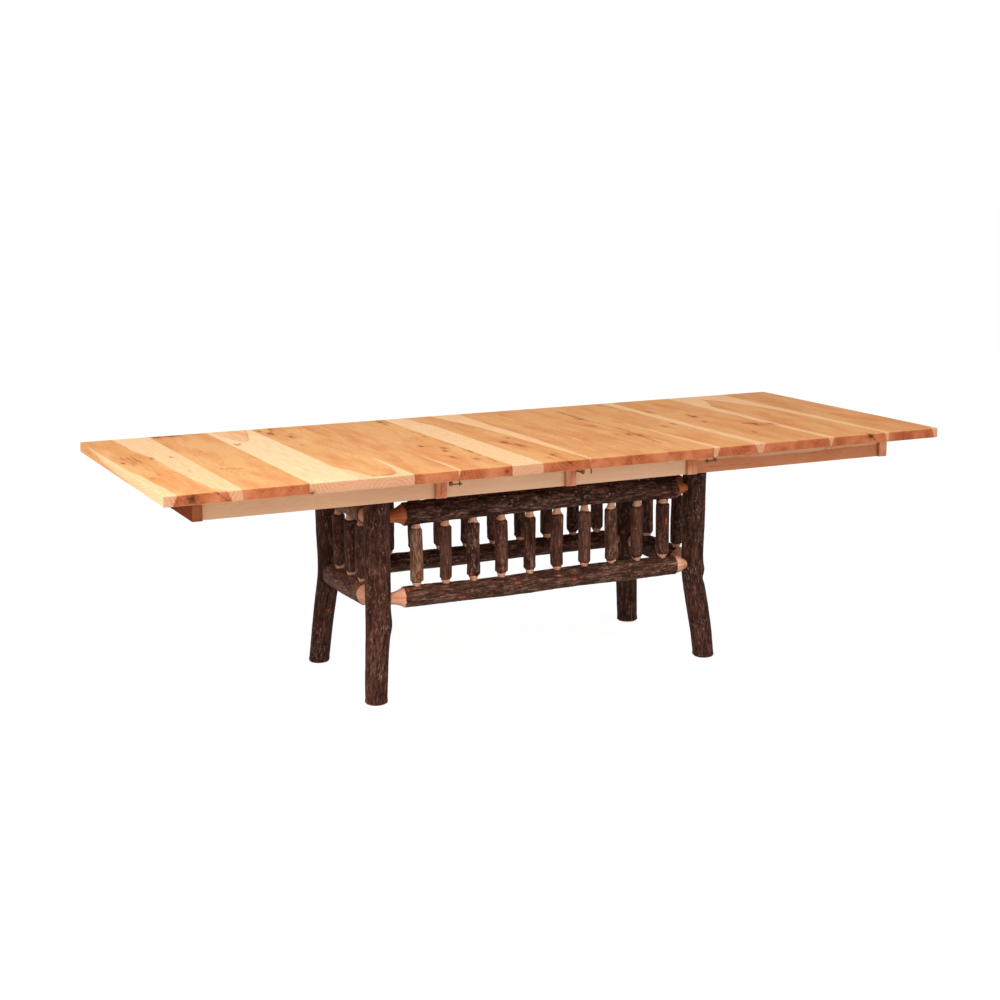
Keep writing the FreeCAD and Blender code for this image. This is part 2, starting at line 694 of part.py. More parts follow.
def make_pinion():
    level = number("runner_foot + pinion_float")
    lift = number("hub_lift")
    thickness = number("gear_thickness")
    rim = Part.Face(pinion_outline()).extrude(FreeCAD.Vector(0, 0, thickness))
    rim.translate(FreeCAD.Vector(0, 0, lift))
    hub = Part.makeCylinder(number("hub_radius"), lift + thickness / 2)
    bore = Part.makeCylinder(number("bolt_radius + bolt_clearance"), number("hub_lift + gear_thickness"))
    pinion = doc.addObject("Part::Feature", "pinion")
    pinion.Shape = rim.fuse(hub).cut(bore)
    middle = FreeCAD.Vector(number("base_shift_along"), number("base_shift_across"), level)
    pinion.Placement = FreeCAD.Placement(middle, FreeCAD.Rotation())
    keep(pinion, "pinion")

    bearer = block("gear_bearer_board",
                   ("base_shift_along - bearer_width / 2", "base_shift_along + bearer_width / 2"),
                   ("base_shift_across - runner_offset - slide_thickness / 2",
                    "base_shift_across + runner_offset + slide_thickness / 2"),
                   ("cleat_foot", "runner_foot"))
    spot = ("base_shift_along", "base_shift_across")
    hole = rod("gear_bearer_hole", "bolt_radius + glue_gap", "cleat_foot - overrun",
               "runner_foot + overrun", spot, "z")
    keep(cut("gear_bearer", bearer, hole), "gear_bearer")

    seat = "runner_foot + pinion_float + hub_lift + gear_thickness + pinion_float"
    shank = rod("pinion_bolt_shank", "bolt_radius", "cleat_foot + overrun", seat, spot, "z")
    head = peg("pinion_bolt_head", BOLT_HEAD_SIDES, "bolt_head_radius", seat, f"{seat} + bolt_head_height",
               spot, "z")
    keep(fuse("pinion_bolt", [shank, head]), "pinion_bolt")


def make_rack(label, side):
    """A straight rack with a tooth in line with the pinion's middle, and a lug up to the top."""
    scale, pitch_radius, pressure = gear_sizes()
    pitch = number("rack_pitch")
    slope = math.tan(pressure)
    middle_width = pitch / 2 - number("gear_backlash") / 2
    tip_half = middle_width / 2 - scale * slope
    depth = scale + number("gear_root_gap")
    root_half = middle_width / 2 + depth * slope
    tip_line = pitch_radius - scale
    root_line = pitch_radius + depth
    back_line = root_line + number("rack_back")
    ahead = math.floor(number("rack_reach") / pitch)
    behind = math.floor(number("rack_tail") / pitch)
    far = number("rack_lug_far")
    points = [(-far, back_line), (-far, root_line)]
    for tooth in range(-behind, ahead + 1):
        middle = tooth * pitch
        points += [(middle - root_half, root_line), (middle - tip_half, tip_line),
                   (middle + tip_half, tip_line), (middle + root_half, root_line)]
    end = (ahead + 0.5) * pitch
    points += [(end, root_line), (end, back_line)]
    turn = -1 if side < 0 else 1
    corners = [FreeCAD.Vector(-side * x, turn * y, 0) for x, y in points]
    wire = Part.makePolygon(corners + corners[:1])
    thickness = number("rack_thickness")
    toothed = Part.Face(wire).extrude(FreeCAD.Vector(0, 0, thickness))
    drop = number("hub_lift + pinion_float + (gear_thickness - rack_thickness) / 2")
    level = number("runner_foot") + drop
    lug_length = number("rack_lug_length")
    lug_left = min(side * far, side * (far - lug_length))
    lug_front = min(turn * root_line, turn * back_line)
    lug = Part.makeBox(lug_length, number("rack_back"), number("underside") - level,
                       FreeCAD.Vector(lug_left, lug_front, 0))
    rack = doc.addObject("Part::Feature", label)
    rack.Shape = toothed.fuse(lug).removeSplitter()
    base = FreeCAD.Vector(number("base_shift_along"), number("base_shift_across"), level)
    rack.Placement = FreeCAD.Placement(base, FreeCAD.Rotation())
    keep(rack, label)


# Hooks near the edges of the top at each seam. A hook swings on a screw and closes round a plain post
# on the section across the seam.

def make_hook(name, x, y, turn, hand):
    """Hook with its eye at x, y. Closed, it points along X for a turn of 0. hand is 1 where the mouth
    faces -Y then and -1 where it faces +Y."""
    top = "hook_level_drop - hook_end_gap"
    plate = ("0", "hook_thickness")
    arm = block(name + "_arm", ("0", "hook_reach"), ("-hook_arm_width / 2", "hook_arm_width / 2"), plate)
    head = peg(name + "_head", PEG_SIDES, "hook_head_radius", *plate, ("hook_reach", "0"), "z")
    eye = peg(name + "_eye", PEG_SIDES, "hook_eye_radius", "0", top, ("0", "0"), "z")
    bore = rod(name + "_bore", "hook_screw_radius + hook_bore_clearance", "-overrun",
               "hook_level_drop + overrun", ("0", "0"), "z")
    gap = "post_radius + post_clearance"
    spans = ("-overrun", "hook_thickness + overrun")
    seat = peg(name + "_seat", PEG_SIDES, gap, *spans, ("hook_reach", "0"), "z")
    outer = rod(name + "_mouth_outer", f"hook_reach + {gap}", *spans, ("0", "0"), "z")
    inner = rod(name + "_mouth_inner", f"hook_reach - ({gap})", *spans, ("0", "0"), "z")
    for sector in (outer, inner):
        sector.Angle = HOOK_MOUTH_ANGLE
        start = -HOOK_MOUTH_ANGLE if hand > 0 else 0
        place(sector, "0", "0", spans[0], FreeCAD.Rotation(FreeCAD.Vector(0, 0, 1), start))
    mouth = cut(name + "_mouth", outer, inner)
    whole = fuse(name + "_whole", [arm, head, eye])
    hook = cut(name, whole, fuse(name + "_openings", [bore, seat, mouth]))
    place(hook, x, y, "hook_foot", FreeCAD.Rotation(FreeCAD.Vector(0, 0, 1), turn))
    keep(hook, name)


def hook_screws(label, spots):
    screws = []
    seat = "hook_foot - hook_end_gap"
    for count, spot in enumerate(spots):
        shank = rod(f"{label}_shank_{count}", "hook_screw_radius", seat, "underside", spot, "z")
        head = peg(f"{label}_head_{count}", PEG_SIDES, "hook_screw_head_radius",
                   f"{seat} - hook_screw_head_height", seat, spot, "z")
        screws.append(fuse(f"{label}_{count + 1}", [shank, head]))
    keep(group(label, screws), label)


def hook_posts(label, spots):
    posts = [peg(f"{label}_{count + 1}", PEG_SIDES, "post_radius", "underside - post_drop", "underside",
                 spot, "z") for count, spot in enumerate(spots)]
    keep(group(label, posts), label)


def make_hooks():
    """Left and right hooks are closed on the leaves' posts; the middle ones stand open."""
    rows = (("front", "-hook_line", 1), ("back", "hook_line", -1))
    ahead = "(hook_reach - hook_setback)"
    screw_spots = {
        "left": "-leaf_width - hook_setback",
        "middle": "-hook_setback",
        "right": "leaf_width + hook_setback",
    }
    for row, line, hand in rows:
        make_hook("hook_left_" + row, screw_spots["left"], line, 0, hand)
        make_hook("hook_middle_" + row, screw_spots["middle"], line, HOOK_OPEN_ANGLE * hand, hand)
        make_hook("hook_right_" + row, screw_spots["right"], line, 180, -hand)
    lines = [line for _, line, _ in rows]
    hook_screws("left_hook_screws", [(screw_spots["left"], line) for line in lines])
    hook_screws("left_leaf_hook_screws", [(screw_spots["middle"], line) for line in lines])
    hook_screws("right_hook_screws", [(screw_spots["right"], line) for line in lines])
    hook_posts("left_leaf_hook_posts", [(f"-leaf_width + {ahead}", line) for line in lines])
    hook_posts("right_leaf_hook_posts",
               [(place_x, line) for place_x in (ahead, f"leaf_width - {ahead}") for line in lines])


def check_document():
    doc.recompute()
    for item in doc.Objects:
        bad = [state for state in item.State if state in ("Invalid", "Error")]
        if bad:
            raise RuntimeError(f"{item.Name} is {bad}")
    for item in kept:
        if item.Shape.isNull() or not item.Shape.isValid():
            raise RuntimeError(f"{item.Label} has no valid shape")


def write_parts():
    os.makedirs("parts", exist_ok=True)
    for item in kept:
        item.Shape.exportStep(os.path.join("parts", item.Label + ".step"))
    solids = sum(len(item.Shape.Solids) for item in kept)
    print(f"{len(kept)} nodes, {solids} solids")


fill_sheet()
make_top()
make_aprons()
make_legs()
make_sides()
make_cleats()
make_runners()
make_slides()
make_pinion()
make_rack("left_rack", -1)
make_rack("right_rack", 1)
make_hooks()
check_document()
write_parts()
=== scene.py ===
import json
import bpy
import numpy as np
from mathutils import Matrix, Vector


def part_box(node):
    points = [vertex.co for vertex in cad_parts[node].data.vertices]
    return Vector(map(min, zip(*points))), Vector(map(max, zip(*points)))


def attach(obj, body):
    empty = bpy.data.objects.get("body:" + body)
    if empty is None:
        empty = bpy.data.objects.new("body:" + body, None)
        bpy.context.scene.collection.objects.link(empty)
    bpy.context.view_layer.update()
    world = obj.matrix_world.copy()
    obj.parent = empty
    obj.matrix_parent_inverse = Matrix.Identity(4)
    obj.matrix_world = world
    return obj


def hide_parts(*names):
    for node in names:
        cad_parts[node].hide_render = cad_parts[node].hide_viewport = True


# The frame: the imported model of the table. Every piece below takes the place of one of its nodes, or
# gives it a finish. Lengths are metres, X runs along the top, Y across it and Z up from the floor.

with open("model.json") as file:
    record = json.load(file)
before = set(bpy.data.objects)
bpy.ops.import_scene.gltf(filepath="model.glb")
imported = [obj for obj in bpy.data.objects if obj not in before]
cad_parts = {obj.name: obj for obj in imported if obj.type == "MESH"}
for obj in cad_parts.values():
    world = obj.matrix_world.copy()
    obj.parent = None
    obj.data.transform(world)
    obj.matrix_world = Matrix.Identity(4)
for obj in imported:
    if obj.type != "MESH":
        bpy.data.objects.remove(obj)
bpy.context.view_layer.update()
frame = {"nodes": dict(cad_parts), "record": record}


# Legs: four hickory logs with the bark left on, screwed to the cleats at the top. Each grew with a
# crook that kicks its foot outwards. The foot is sawn off and its edge rounded, which shows a thin
# ring of bare wood.

LEG_TOP = 0.6893
LEG_RADIUS = 0.042
LEG_BARK = 0.0022
FOOT_ROUND = 0.006
FOOT_STEPS = (0, 0.06, 0.18, 0.36, 0.58, 0.78)
LEG_ALONG = (-0.6055, 0.5775)
LEG_ACROSS = (-0.226, 0.24)
KICK_ALONG = 0.0265
KICK_ACROSS = 0.035
LEG_SAW_EDGE = 0.0045
LEG_ROWS = 240
LEG_COLUMNS = 150
SWELL_DEPTH = 0.003
FURROW_DEPTH = 0.0022
FLAKE_DEPTH = 0.0007
FURROW_WIDTH = 0.00085
RAGGED_BARK = 0.005
BARK_LIP = 0.0016

# Sides that the kick goes to, then height share, kick along, kick across and girth share from the
# floor up; then knots as height share, turn round the leg, size and stretch; then swellings as height
# share, turn, reach and rise; then how smooth and how tan the bark is, where less than 0 is darker.
LEG_GROWTH = {
    "leg_front_left": (
        -1, -1,
        ((0, 1, 1, 0.84), (0.1, 0.8, 0.78, 0.88), (0.2, 0.5, 0.5, 0.88), (0.38, 0.05, 0.05, 0.97),
         (0.7, 0, 0, 1.01), (1, 0, 0, 1)), (), ((0.36, -0.5, 0.034, 0.006), (0.24, 2.6, 0.05, 0.002)),
        (0.7, -0.22)),
    "leg_front_right": (
        1, -1,
        ((0, 1, 1, 0.85), (0.11, 0.8, 0.78, 0.87), (0.22, 0.5, 0.5, 0.9), (0.41, -0.06, 0.03, 0.92),
         (0.7, 0, 0, 0.94), (1, 0, 0, 0.96)), (), ((0.45, -0.5, 0.02, 0.004), (0.4, -0.55, 0.016, -0.0045)),
        (0.6, -0.42)),
    "leg_back_left": (
        -1, 1,
        ((0, 1, 1, 0.85), (0.2, 0.6, 0.5, 0.88), (0.31, 0.33, 0.2, 0.9), (0.44, -0.14, 0.05, 0.92),
         (0.73, -0.12, 0, 0.97), (1, 0.04, 0, 0.99)), ((0.285, -1.55, 0.0085, 0.9),),
        ((0.29, -1.5, 0.02, 0.002),), (0.75, -0.35)),
    "leg_back_right": (
        1, 1,
        ((0, 1, 1, 0.88), (0.24, 0.45, 0.5, 0.93), (0.4, 0, 0.05, 0.96), (0.7, 0, 0, 1.01), (1, 0, 0, 1)),
        ((0.52, -2.4, 0.009, 1),), (), (0.5, -0.3)),
}


def follow(places, marks, values):
    """A smooth curve through a few given values: cubic pieces whose slope at each mark is that
    of the line through its neighbours."""
    marks, values = np.array(marks, float), np.array(values, float)
    slopes = np.gradient(values, marks)
    places = np.clip(places, marks[0], marks[-1])
    left = np.clip(np.searchsorted(marks, places) - 1, 0, len(marks) - 2)
    gap = marks[left + 1] - marks[left]
    u = (places - marks[left]) / gap
    return (values[left] * (2 * u**3 - 3 * u**2 + 1) + values[left + 1] * (3 * u**2 - 2 * u**3)
            + gap * (slopes[left] * (u**3 - 2 * u**2 + u) + slopes[left + 1] * (u**3 - u**2)))


def drift(turn, along, cells, reach, seed):
    """Smooth noise from 0 to 1 on a pole: random heights at a few cells round it and one every reach
    along it, eased from each to the next, and closed round the pole."""
    heights = np.random.default_rng(seed).random((cells, 256))
    a, b = np.broadcast_arrays(np.mod(turn / (2 * np.pi), 1) * cells, along / reach + 97)
    a0, b0 = np.floor(a).astype(int), np.floor(b).astype(int)
    u, v = a - a0, b - b0
    u, v = u * u * (3 - 2 * u), v * v * (3 - 2 * v)
    a1, b1 = (a0 + 1) % cells, (b0 + 1) % 256
    here = heights[a0 % cells, b0 % 256] * (1 - v) + heights[a0 % cells, b1] * v
    beside = heights[a1, b0 % 256] * (1 - v) + heights[a1, b1] * v
    return here * (1 - u) + beside * u


def bark_relief(turn, along, girth, youth, seed):
    """Height of bark over its mean, in metres, and how high each spot stands, from 0 in a furrow to 1
    on a ridge. Furrows a few millimetres apart are the valleys of long thin noises that sway from
    side to side; the pole swells and dips slowly between them. Young bark has hardly any."""
    cells = int(round(girth / FURROW_WIDTH))
    sway = 0.011 / girth * (drift(turn, along, 4, 0.07, seed) - 0.5)
    wide = drift(turn + sway, along, cells, 0.031, seed + 1)
    narrow = drift(turn - 0.6 * sway, along, int(1.6 * cells), 0.019, seed + 2)
    ridge = 0.62 * wide + 0.38 * narrow
    flakes = drift(turn + sway, along, cells, 0.009, seed + 3)
    swell = drift(turn, along, 3, 0.14, seed + 4) - 0.5
    crust = FURROW_DEPTH * (ridge - 0.5) + FLAKE_DEPTH * (flakes - 0.5)
    height = SWELL_DEPTH * swell + (1 - 0.75 * youth) * crust
    return height, np.clip(0.78 * ridge + 0.22 * flakes, 0, 1)


def pole(axis, along, middle, wood, bark, bark_ends, seed, columns, knots, swellings, looks, bare):
    """A pole as a grid of rows along it and columns round it. Each point stands off the pole's own
    wandering middle by the radius of the wood and, up to the bark's ragged ends, by the bark's
    thickness and relief. Each knot is (place, turn, size, stretch) and each swelling (place, turn,
    reach, rise). looks are how smooth and how tan the bark is, where less than 0 is darker, and bare
    is how dark the bare wood is, which on a rail under the top is partly painted shade."""
    turn = np.linspace(0, 2 * np.pi, columns, endpoint=False)[None, :]
    place = along[:, None]
    coarse, fine = drift(turn, 0, 6, 1, seed + 5), drift(turn, 0, 27, 1, seed + 6)
    ragged = RAGGED_BARK * (coarse - 0.5 + 0.5 * (fine - 0.5))
    past = np.maximum(bark_ends[0] + ragged - place, place - bark_ends[1] - ragged)
    girth = float(np.mean(wood))
    height, level = bark_relief(turn, place, girth, looks[0], seed)
    knot = np.full(height.shape, 4.0)

    def sideways(side):
        return (np.mod(turn - side + np.pi, 2 * np.pi) - np.pi) * girth

    for spot, side, size, stretch in knots:
        reach = np.hypot(sideways(side), (place - spot) / stretch) / size
        height = height + size * (0.22 * np.exp(-(reach / 1.2)**2) - 0.25 * np.exp(-(reach / 0.45)**2))
        knot = np.minimum(knot, reach)
    for spot, side, size, rise in swellings:
        height = height + rise * np.exp(-(np.hypot(sideways(side), place - spot) / size)**2)
    covered = 1 - np.clip(past / BARK_LIP + 0.5, 0, 1)
    radius = wood[:, None] + (bark + height) * covered
    order = {"x": (1, 2, 0), "y": (2, 0, 1), "z": (0, 1, 2)}[axis]
    across, up, onward = np.eye(3)[list(order)]
    rays = np.cos(turn)[..., None] * across + np.sin(turn)[..., None] * up
    straight = girth * np.stack(np.broadcast_arrays(np.cos(turn), np.sin(turn), place / girth), -1)
    return {
        "points": middle[:, None, :] * (1 - onward) + place[..., None] * onward + radius[..., None] * rays,
        "straight": straight + seed * np.array((1.3, 0.7, 2.1)),
        "level": level,
        "past_bark": np.clip(past * 1000, -20, 20),
        "knot": knot,
        "youth": np.full(level.shape, looks[0]),
        "tan": np.full(level.shape, looks[1]),
        "bare_tone": np.full(level.shape, bare),
    }


def put_in_scene(name, data):
    """A new object in the scene from its mesh, lamp or camera."""
    made = bpy.data.objects.new(name, data)
    bpy.context.scene.collection.objects.link(made)
    return made


def make_piece(name, fields, faces, material, smooth=None):
    """A mesh object from groups of faces with as many corners each, and the value of each field at
    each point, where one field is the points themselves."""
    points = fields.pop("points")
    mesh = bpy.data.meshes.new(name)
    mesh.vertices.add(len(points))
    mesh.vertices.foreach_set("co", points.astype(np.float32).ravel())
    sizes = np.concatenate([np.full(len(group), group.shape[1]) for group in faces])
    mesh.loops.add(int(sizes.sum()))
    corners = np.concatenate([group.ravel() for group in faces])
    mesh.loops.foreach_set("vertex_index", corners.astype(np.int32))
    mesh.polygons.add(len(sizes))
    mesh.polygons.foreach_set("loop_start", (np.cumsum(sizes) - sizes).astype(np.int32))
    mesh.update(calc_edges=True)
    mesh.polygons.foreach_set("use_smooth", np.ones(len(sizes), bool) if smooth is None else smooth)
    for field, values in fields.items():
        kind, slot = ("FLOAT_VECTOR", "vector") if values.shape[1] == 3 else ("FLOAT", "value")
        mesh.attributes.new(field, kind, "POINT").data.foreach_set(slot, values.astype(np.float32).ravel())
    mesh.materials.append(material)
    return put_in_scene(name, mesh)


def bands(rows, columns, first=0):
    """Quads between each two rows of a grid that is closed round its columns."""
    here = first + np.arange(rows * columns).reshape(rows, columns)
    beside = np.roll(here, -1, axis=1)
    return np.stack([here[:-1], beside[:-1], beside[1:], here[1:]], -1).reshape(-1, 4)


def make_poles(name, poles, material):
    """One piece from one or more poles: bands round each, and a fan of triangles to a middle point
    at each end."""
    fields, quads, fans, first = {}, [], [], 0
    for grid in poles:
        rows, columns = grid["level"].shape
        quads.append(bands(rows, columns, first))
        for row, flip in ((0, True), (rows - 1, False)):
            ring = first + row * columns + np.arange(columns)
            hub = np.full(columns, first + rows * columns + (row > 0))
            beside = np.roll(ring, -1)
            fans.append(np.stack([hub, beside, ring] if flip else [hub, ring, beside], -1))
        for field, values in grid.items():
            values = values.reshape(rows, columns, -1)
            ends = np.stack([values[0].mean(0), values[-1].mean(0)])
            fields.setdefault(field, []).append(np.concatenate([values.reshape(rows * columns, -1), ends]))
        first += rows * columns + 2
    fields = {field: np.concatenate(values) for field, values in fields.items()}
    return make_piece(name, fields, [np.concatenate(quads), np.concatenate(fans)], material)


def shade(colour):
    """A colour for a shader: from a grey, or from red, green and blue out of 255 as seen on a screen."""
    if isinstance(colour, (int, float)):
        return (colour, colour, colour, 1)
    seen = np.array(colour) / 255
    return (*np.where(seen > 0.04, ((seen + 0.055) / 1.055)**2.4, seen / 12.92), 1.0)


def shader_tools(tree):
    """Functions that add to a tree of shader nodes: any node, a value carried from one span to
    another, noise that may be stretched, a blend of two colours, a ramp of colours or greys, the coat
    that ends a material, a field of the mesh, a value plus a share of another, and a product."""
    tree.nodes.clear()

    def node(kind, sockets, output=0, **settings):
        made = tree.nodes.new("ShaderNode" + kind)
        for key, value in settings.items():
            setattr(made, key, value)
        for key, value in sockets.items():
            if isinstance(value, bpy.types.NodeSocket):
                tree.links.new(value, made.inputs[key])
            else:
                made.inputs[key].default_value = value
        return made.outputs[output] if made.outputs else made

    def noise(place, scale, detail, rough=0.5, stretch=None, distortion=0):
        if stretch:
            place = node("Mapping", {"Vector": place, "Scale": stretch})
        return node("TexNoise", {"Vector": place, "Scale": scale, "Detail": detail, "Roughness": rough,
                                 "Distortion": distortion})

    def span(value, low, high, start=0, stop=1):
        return node("MapRange", {"Value": value, "From Min": low, "From Max": high, "To Min": start,
                                 "To Max": stop})

    def blend(amount, first, second, kind="MIX"):
        first, second = [shade(side) if isinstance(side, tuple) else side for side in (first, second)]
        return node("Mix", {0: amount, 6: first, 7: second}, 2, data_type="RGBA", blend_type=kind)

    def ramp(value, *stops):
        made = node("ValToRGB", {"Fac": value}).node
        while len(made.color_ramp.elements) < len(stops):
            made.color_ramp.elements.new(1)
        for element, (place, colour) in zip(made.color_ramp.elements, stops):
            element.position = place
            element.color = shade(colour)
        return made.outputs[0]

    def field(name, output="Fac"):
        return node("Attribute", {}, output, attribute_name=name)

    def plus(base, value, share):
        return node("Math", {0: value, 1: share, 2: base}, operation="MULTIPLY_ADD")

    def times(first, second):
        return node("Math", {0: first, 1: second}, operation="MULTIPLY")

    def coat(colour, rough, height, strength, depth, sheen=0.5, metal=0):
        bump = node("Bump", {"Height": height, "Strength": strength, "Distance": depth})
        surface = node("BsdfPrincipled", {"Base Color": colour, "Roughness": rough, "Normal": bump,
                                          "Specular IOR Level": sheen, "Metallic": metal})
        node("OutputMaterial", {"Surface": surface})

    return node, span, noise, blend, ramp, coat, field, plus, times


def finish_named(name):
    """A new material, and the tools that add to it."""
    material = bpy.data.materials.new(name)
    material.use_nodes = True
    return material, *shader_tools(material.node_tree)


bark_finish, *tools = finish_named("bark_and_peeled_hickory")
node, span, noise, blend, ramp, coat, field, plus, times = tools
straight = field("straight", "Vector")
level, past_bark, knot_reach = field("level"), field("past_bark"), field("knot")
youth, tan, bare_tone = field("youth"), field("tan"), field("bare_tone")
fibre = noise(straight, 330, 5, 0.62, (1, 1, 0.1), 0.3)
flake = noise(straight, 260, 4, 0.65, (1, 1, 0.32))
crust = noise(straight, 640, 4, 0.6)
blotch = noise(straight, 30, 3, 0.55, (1, 1, 0.4))
patch = noise(straight, 17, 2)
height = plus(plus(times(level, 0.38), fibre, 0.34), flake, 0.28)
old_bark = ramp(height, (0.34, (14, 5, 3)), (0.45, (42, 21, 14)), (0.53, (68, 41, 31)),
                (0.61, (108, 77, 64)), (0.7, (150, 120, 104)))
young_bark = ramp(height, (0.3, (34, 14, 9)), (0.46, (66, 37, 27)), (0.56, (86, 53, 42)),
                  (0.68, (116, 80, 64)))
bark = blend(youth, old_bark, young_bark)
tan_bark = ramp(fibre, (0.38, (88, 54, 42)), (0.5, (126, 88, 68)), (0.6, (162, 130, 100)))
bark = blend(tan, bark, tan_bark)
bark = blend(times(tan, -1.0), bark, (120, 104, 96), "MULTIPLY")
bark = blend(ramp(blotch, (0.42, 0), (0.66, 0.55)), bark, (160, 106, 90), "MULTIPLY")
# Pale grey flecks on the ridges: partly the bark's own grey, partly painted highlight of glints on the
# lacquer.
silver_and_glint = times(ramp(patch, (0.5, 0.12), (0.6, 0.8)), ramp(flake, (0.56, 0), (0.66, 1)))
bark = blend(silver_and_glint, bark, (138, 114, 102))
knot_wave = node("Math", {0: plus(knot_reach, crust, 0.5), 1: 0.25}, operation="SUBTRACT")
knot_share = times(knot_wave, 0.5)
knot_colour = ramp(knot_share, (0, (62, 26, 18)), (0.12, (96, 42, 28)), (0.2, (152, 84, 56)),
                   (0.3, (104, 50, 36)), (0.5, (76, 36, 28)))
bark = blend(ramp(knot_share, (0.36, 1), (0.5, 0.75), (0.9, 0)), bark, knot_colour)
grain = noise(straight, 240, 5, 0.6, (1, 1, 0.05))
pale_wood = ramp(grain, (0.3, (186, 128, 98)), (0.5, (206, 156, 127)), (0.7, (220, 180, 154)))
brown_and_shaded_wood = ramp(grain, (0.3, (112, 54, 28)), (0.5, (146, 78, 42)), (0.7, (170, 97, 57)))
# Deeper bare wood: partly the wood's own tone, partly painted shade on rails that lie under the top.
bare_wood = blend(bare_tone, pale_wood, brown_and_shaded_wood)
bare_wood = blend(ramp(blotch, (0.4, 0), (0.7, 0.5)), bare_wood, (206, 128, 92), "MULTIPLY")
rim = plus(past_bark, crust, 2.4)
bare_wood = blend(span(rim, 2.4, 5), (84, 32, 20), bare_wood)
is_bare = span(past_bark, -0.2, 0.3)
colour = blend(is_bare, bark, bare_wood)
rough = span(is_bare, 0, 1, 0.7, 0.3)
relief = node("Mix", {0: is_bare, 2: plus(height, crust, 0.16), 3: grain})
strength = span(is_bare, 0, 1, 0.8, 0.25)
coat(colour, rough, relief, strength, 0.0016, 0.07)

for seed, (name, leg_growth) in enumerate(LEG_GROWTH.items(), 3):
    side_along, side_across, growth, marks, swellings, looks = leg_growth
    heights, kick_along, kick_across, girths = np.array(growth).T
    rows = np.concatenate([FOOT_ROUND * np.array(FOOT_STEPS), np.linspace(FOOT_ROUND, LEG_TOP, LEG_ROWS)])
    shares = (rows - FOOT_ROUND) / (LEG_TOP - FOOT_ROUND)
    along_x = LEG_ALONG[side_along > 0] + side_along * KICK_ALONG * follow(shares, heights, kick_along)
    across_y = LEG_ACROSS[side_across > 0] + side_across * KICK_ACROSS * follow(shares, heights, kick_across)
    rounding = FOOT_ROUND - np.sqrt(FOOT_ROUND**2 - np.clip(FOOT_ROUND - rows, 0, FOOT_ROUND)**2)
    wood = LEG_RADIUS * follow(shares, heights, girths) - LEG_BARK * np.clip(rows / 0.02, 0, 1) - rounding
    middle = np.stack([along_x, across_y, rows * 0], -1)
    knots = [(LEG_TOP * spot, *rest) for spot, *rest in marks]
    bumps = [(LEG_TOP * spot, *rest) for spot, *rest in swellings]
    bark_ends = (LEG_SAW_EDGE, LEG_TOP + 0.1)
    log = pole("z", rows, middle, wood, LEG_BARK, bark_ends, 10 * seed, LEG_COLUMNS, knots, bumps, looks, 0.5)
    leg = make_poles(name + "_log", [log], bark_finish)
    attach(leg, "base")
    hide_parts(name)


# Rails: eight hickory poles with the bark on, between the legs in two tiers. Each end is peeled and
# turned down like a pencil to a round tenon, which is glued into the leg.

RAIL_AT = {"front": -0.226, "back": 0.24, "left": -0.6055, "right": 0.5775}
RAIL_LEVELS = {"upper": {"x": 0.601, "y": 0.593}, "lower": {"x": 0.331, "y": 0.328}}
RAIL_RADIUS = {"upper": {"x": 0.035, "y": 0.030}, "lower": {"x": 0.035, "y": 0.038}}
TENON_RADIUS = {"x": 0.019, "y": 0.017}
LEG_MIDDLES = {"x": LEG_ALONG, "y": LEG_ACROSS}
TENON_START = 0.020
CONE_START = 0.044
RAIL_BARK = 0.0026
RAIL_STEP = 0.0034
RAIL_COLUMNS = 124

# How a peeled end widens from its tenon to the bark, in shares of its length and of its growth.
END_SHAPES = {
    "hollow": ((0, 0), (0.3, 0.17), (0.6, 0.46), (0.85, 0.82), (1, 1)),
    "full": ((0, 0), (0.15, 0.36), (0.4, 0.7), (0.7, 0.92), (1, 1)),
    "stepped": ((0, -0.2), (0.15, 0), (0.4, 0.16), (0.7, 0.22), (0.78, 0.8), (0.86, 0.92), (1, 1)),
}
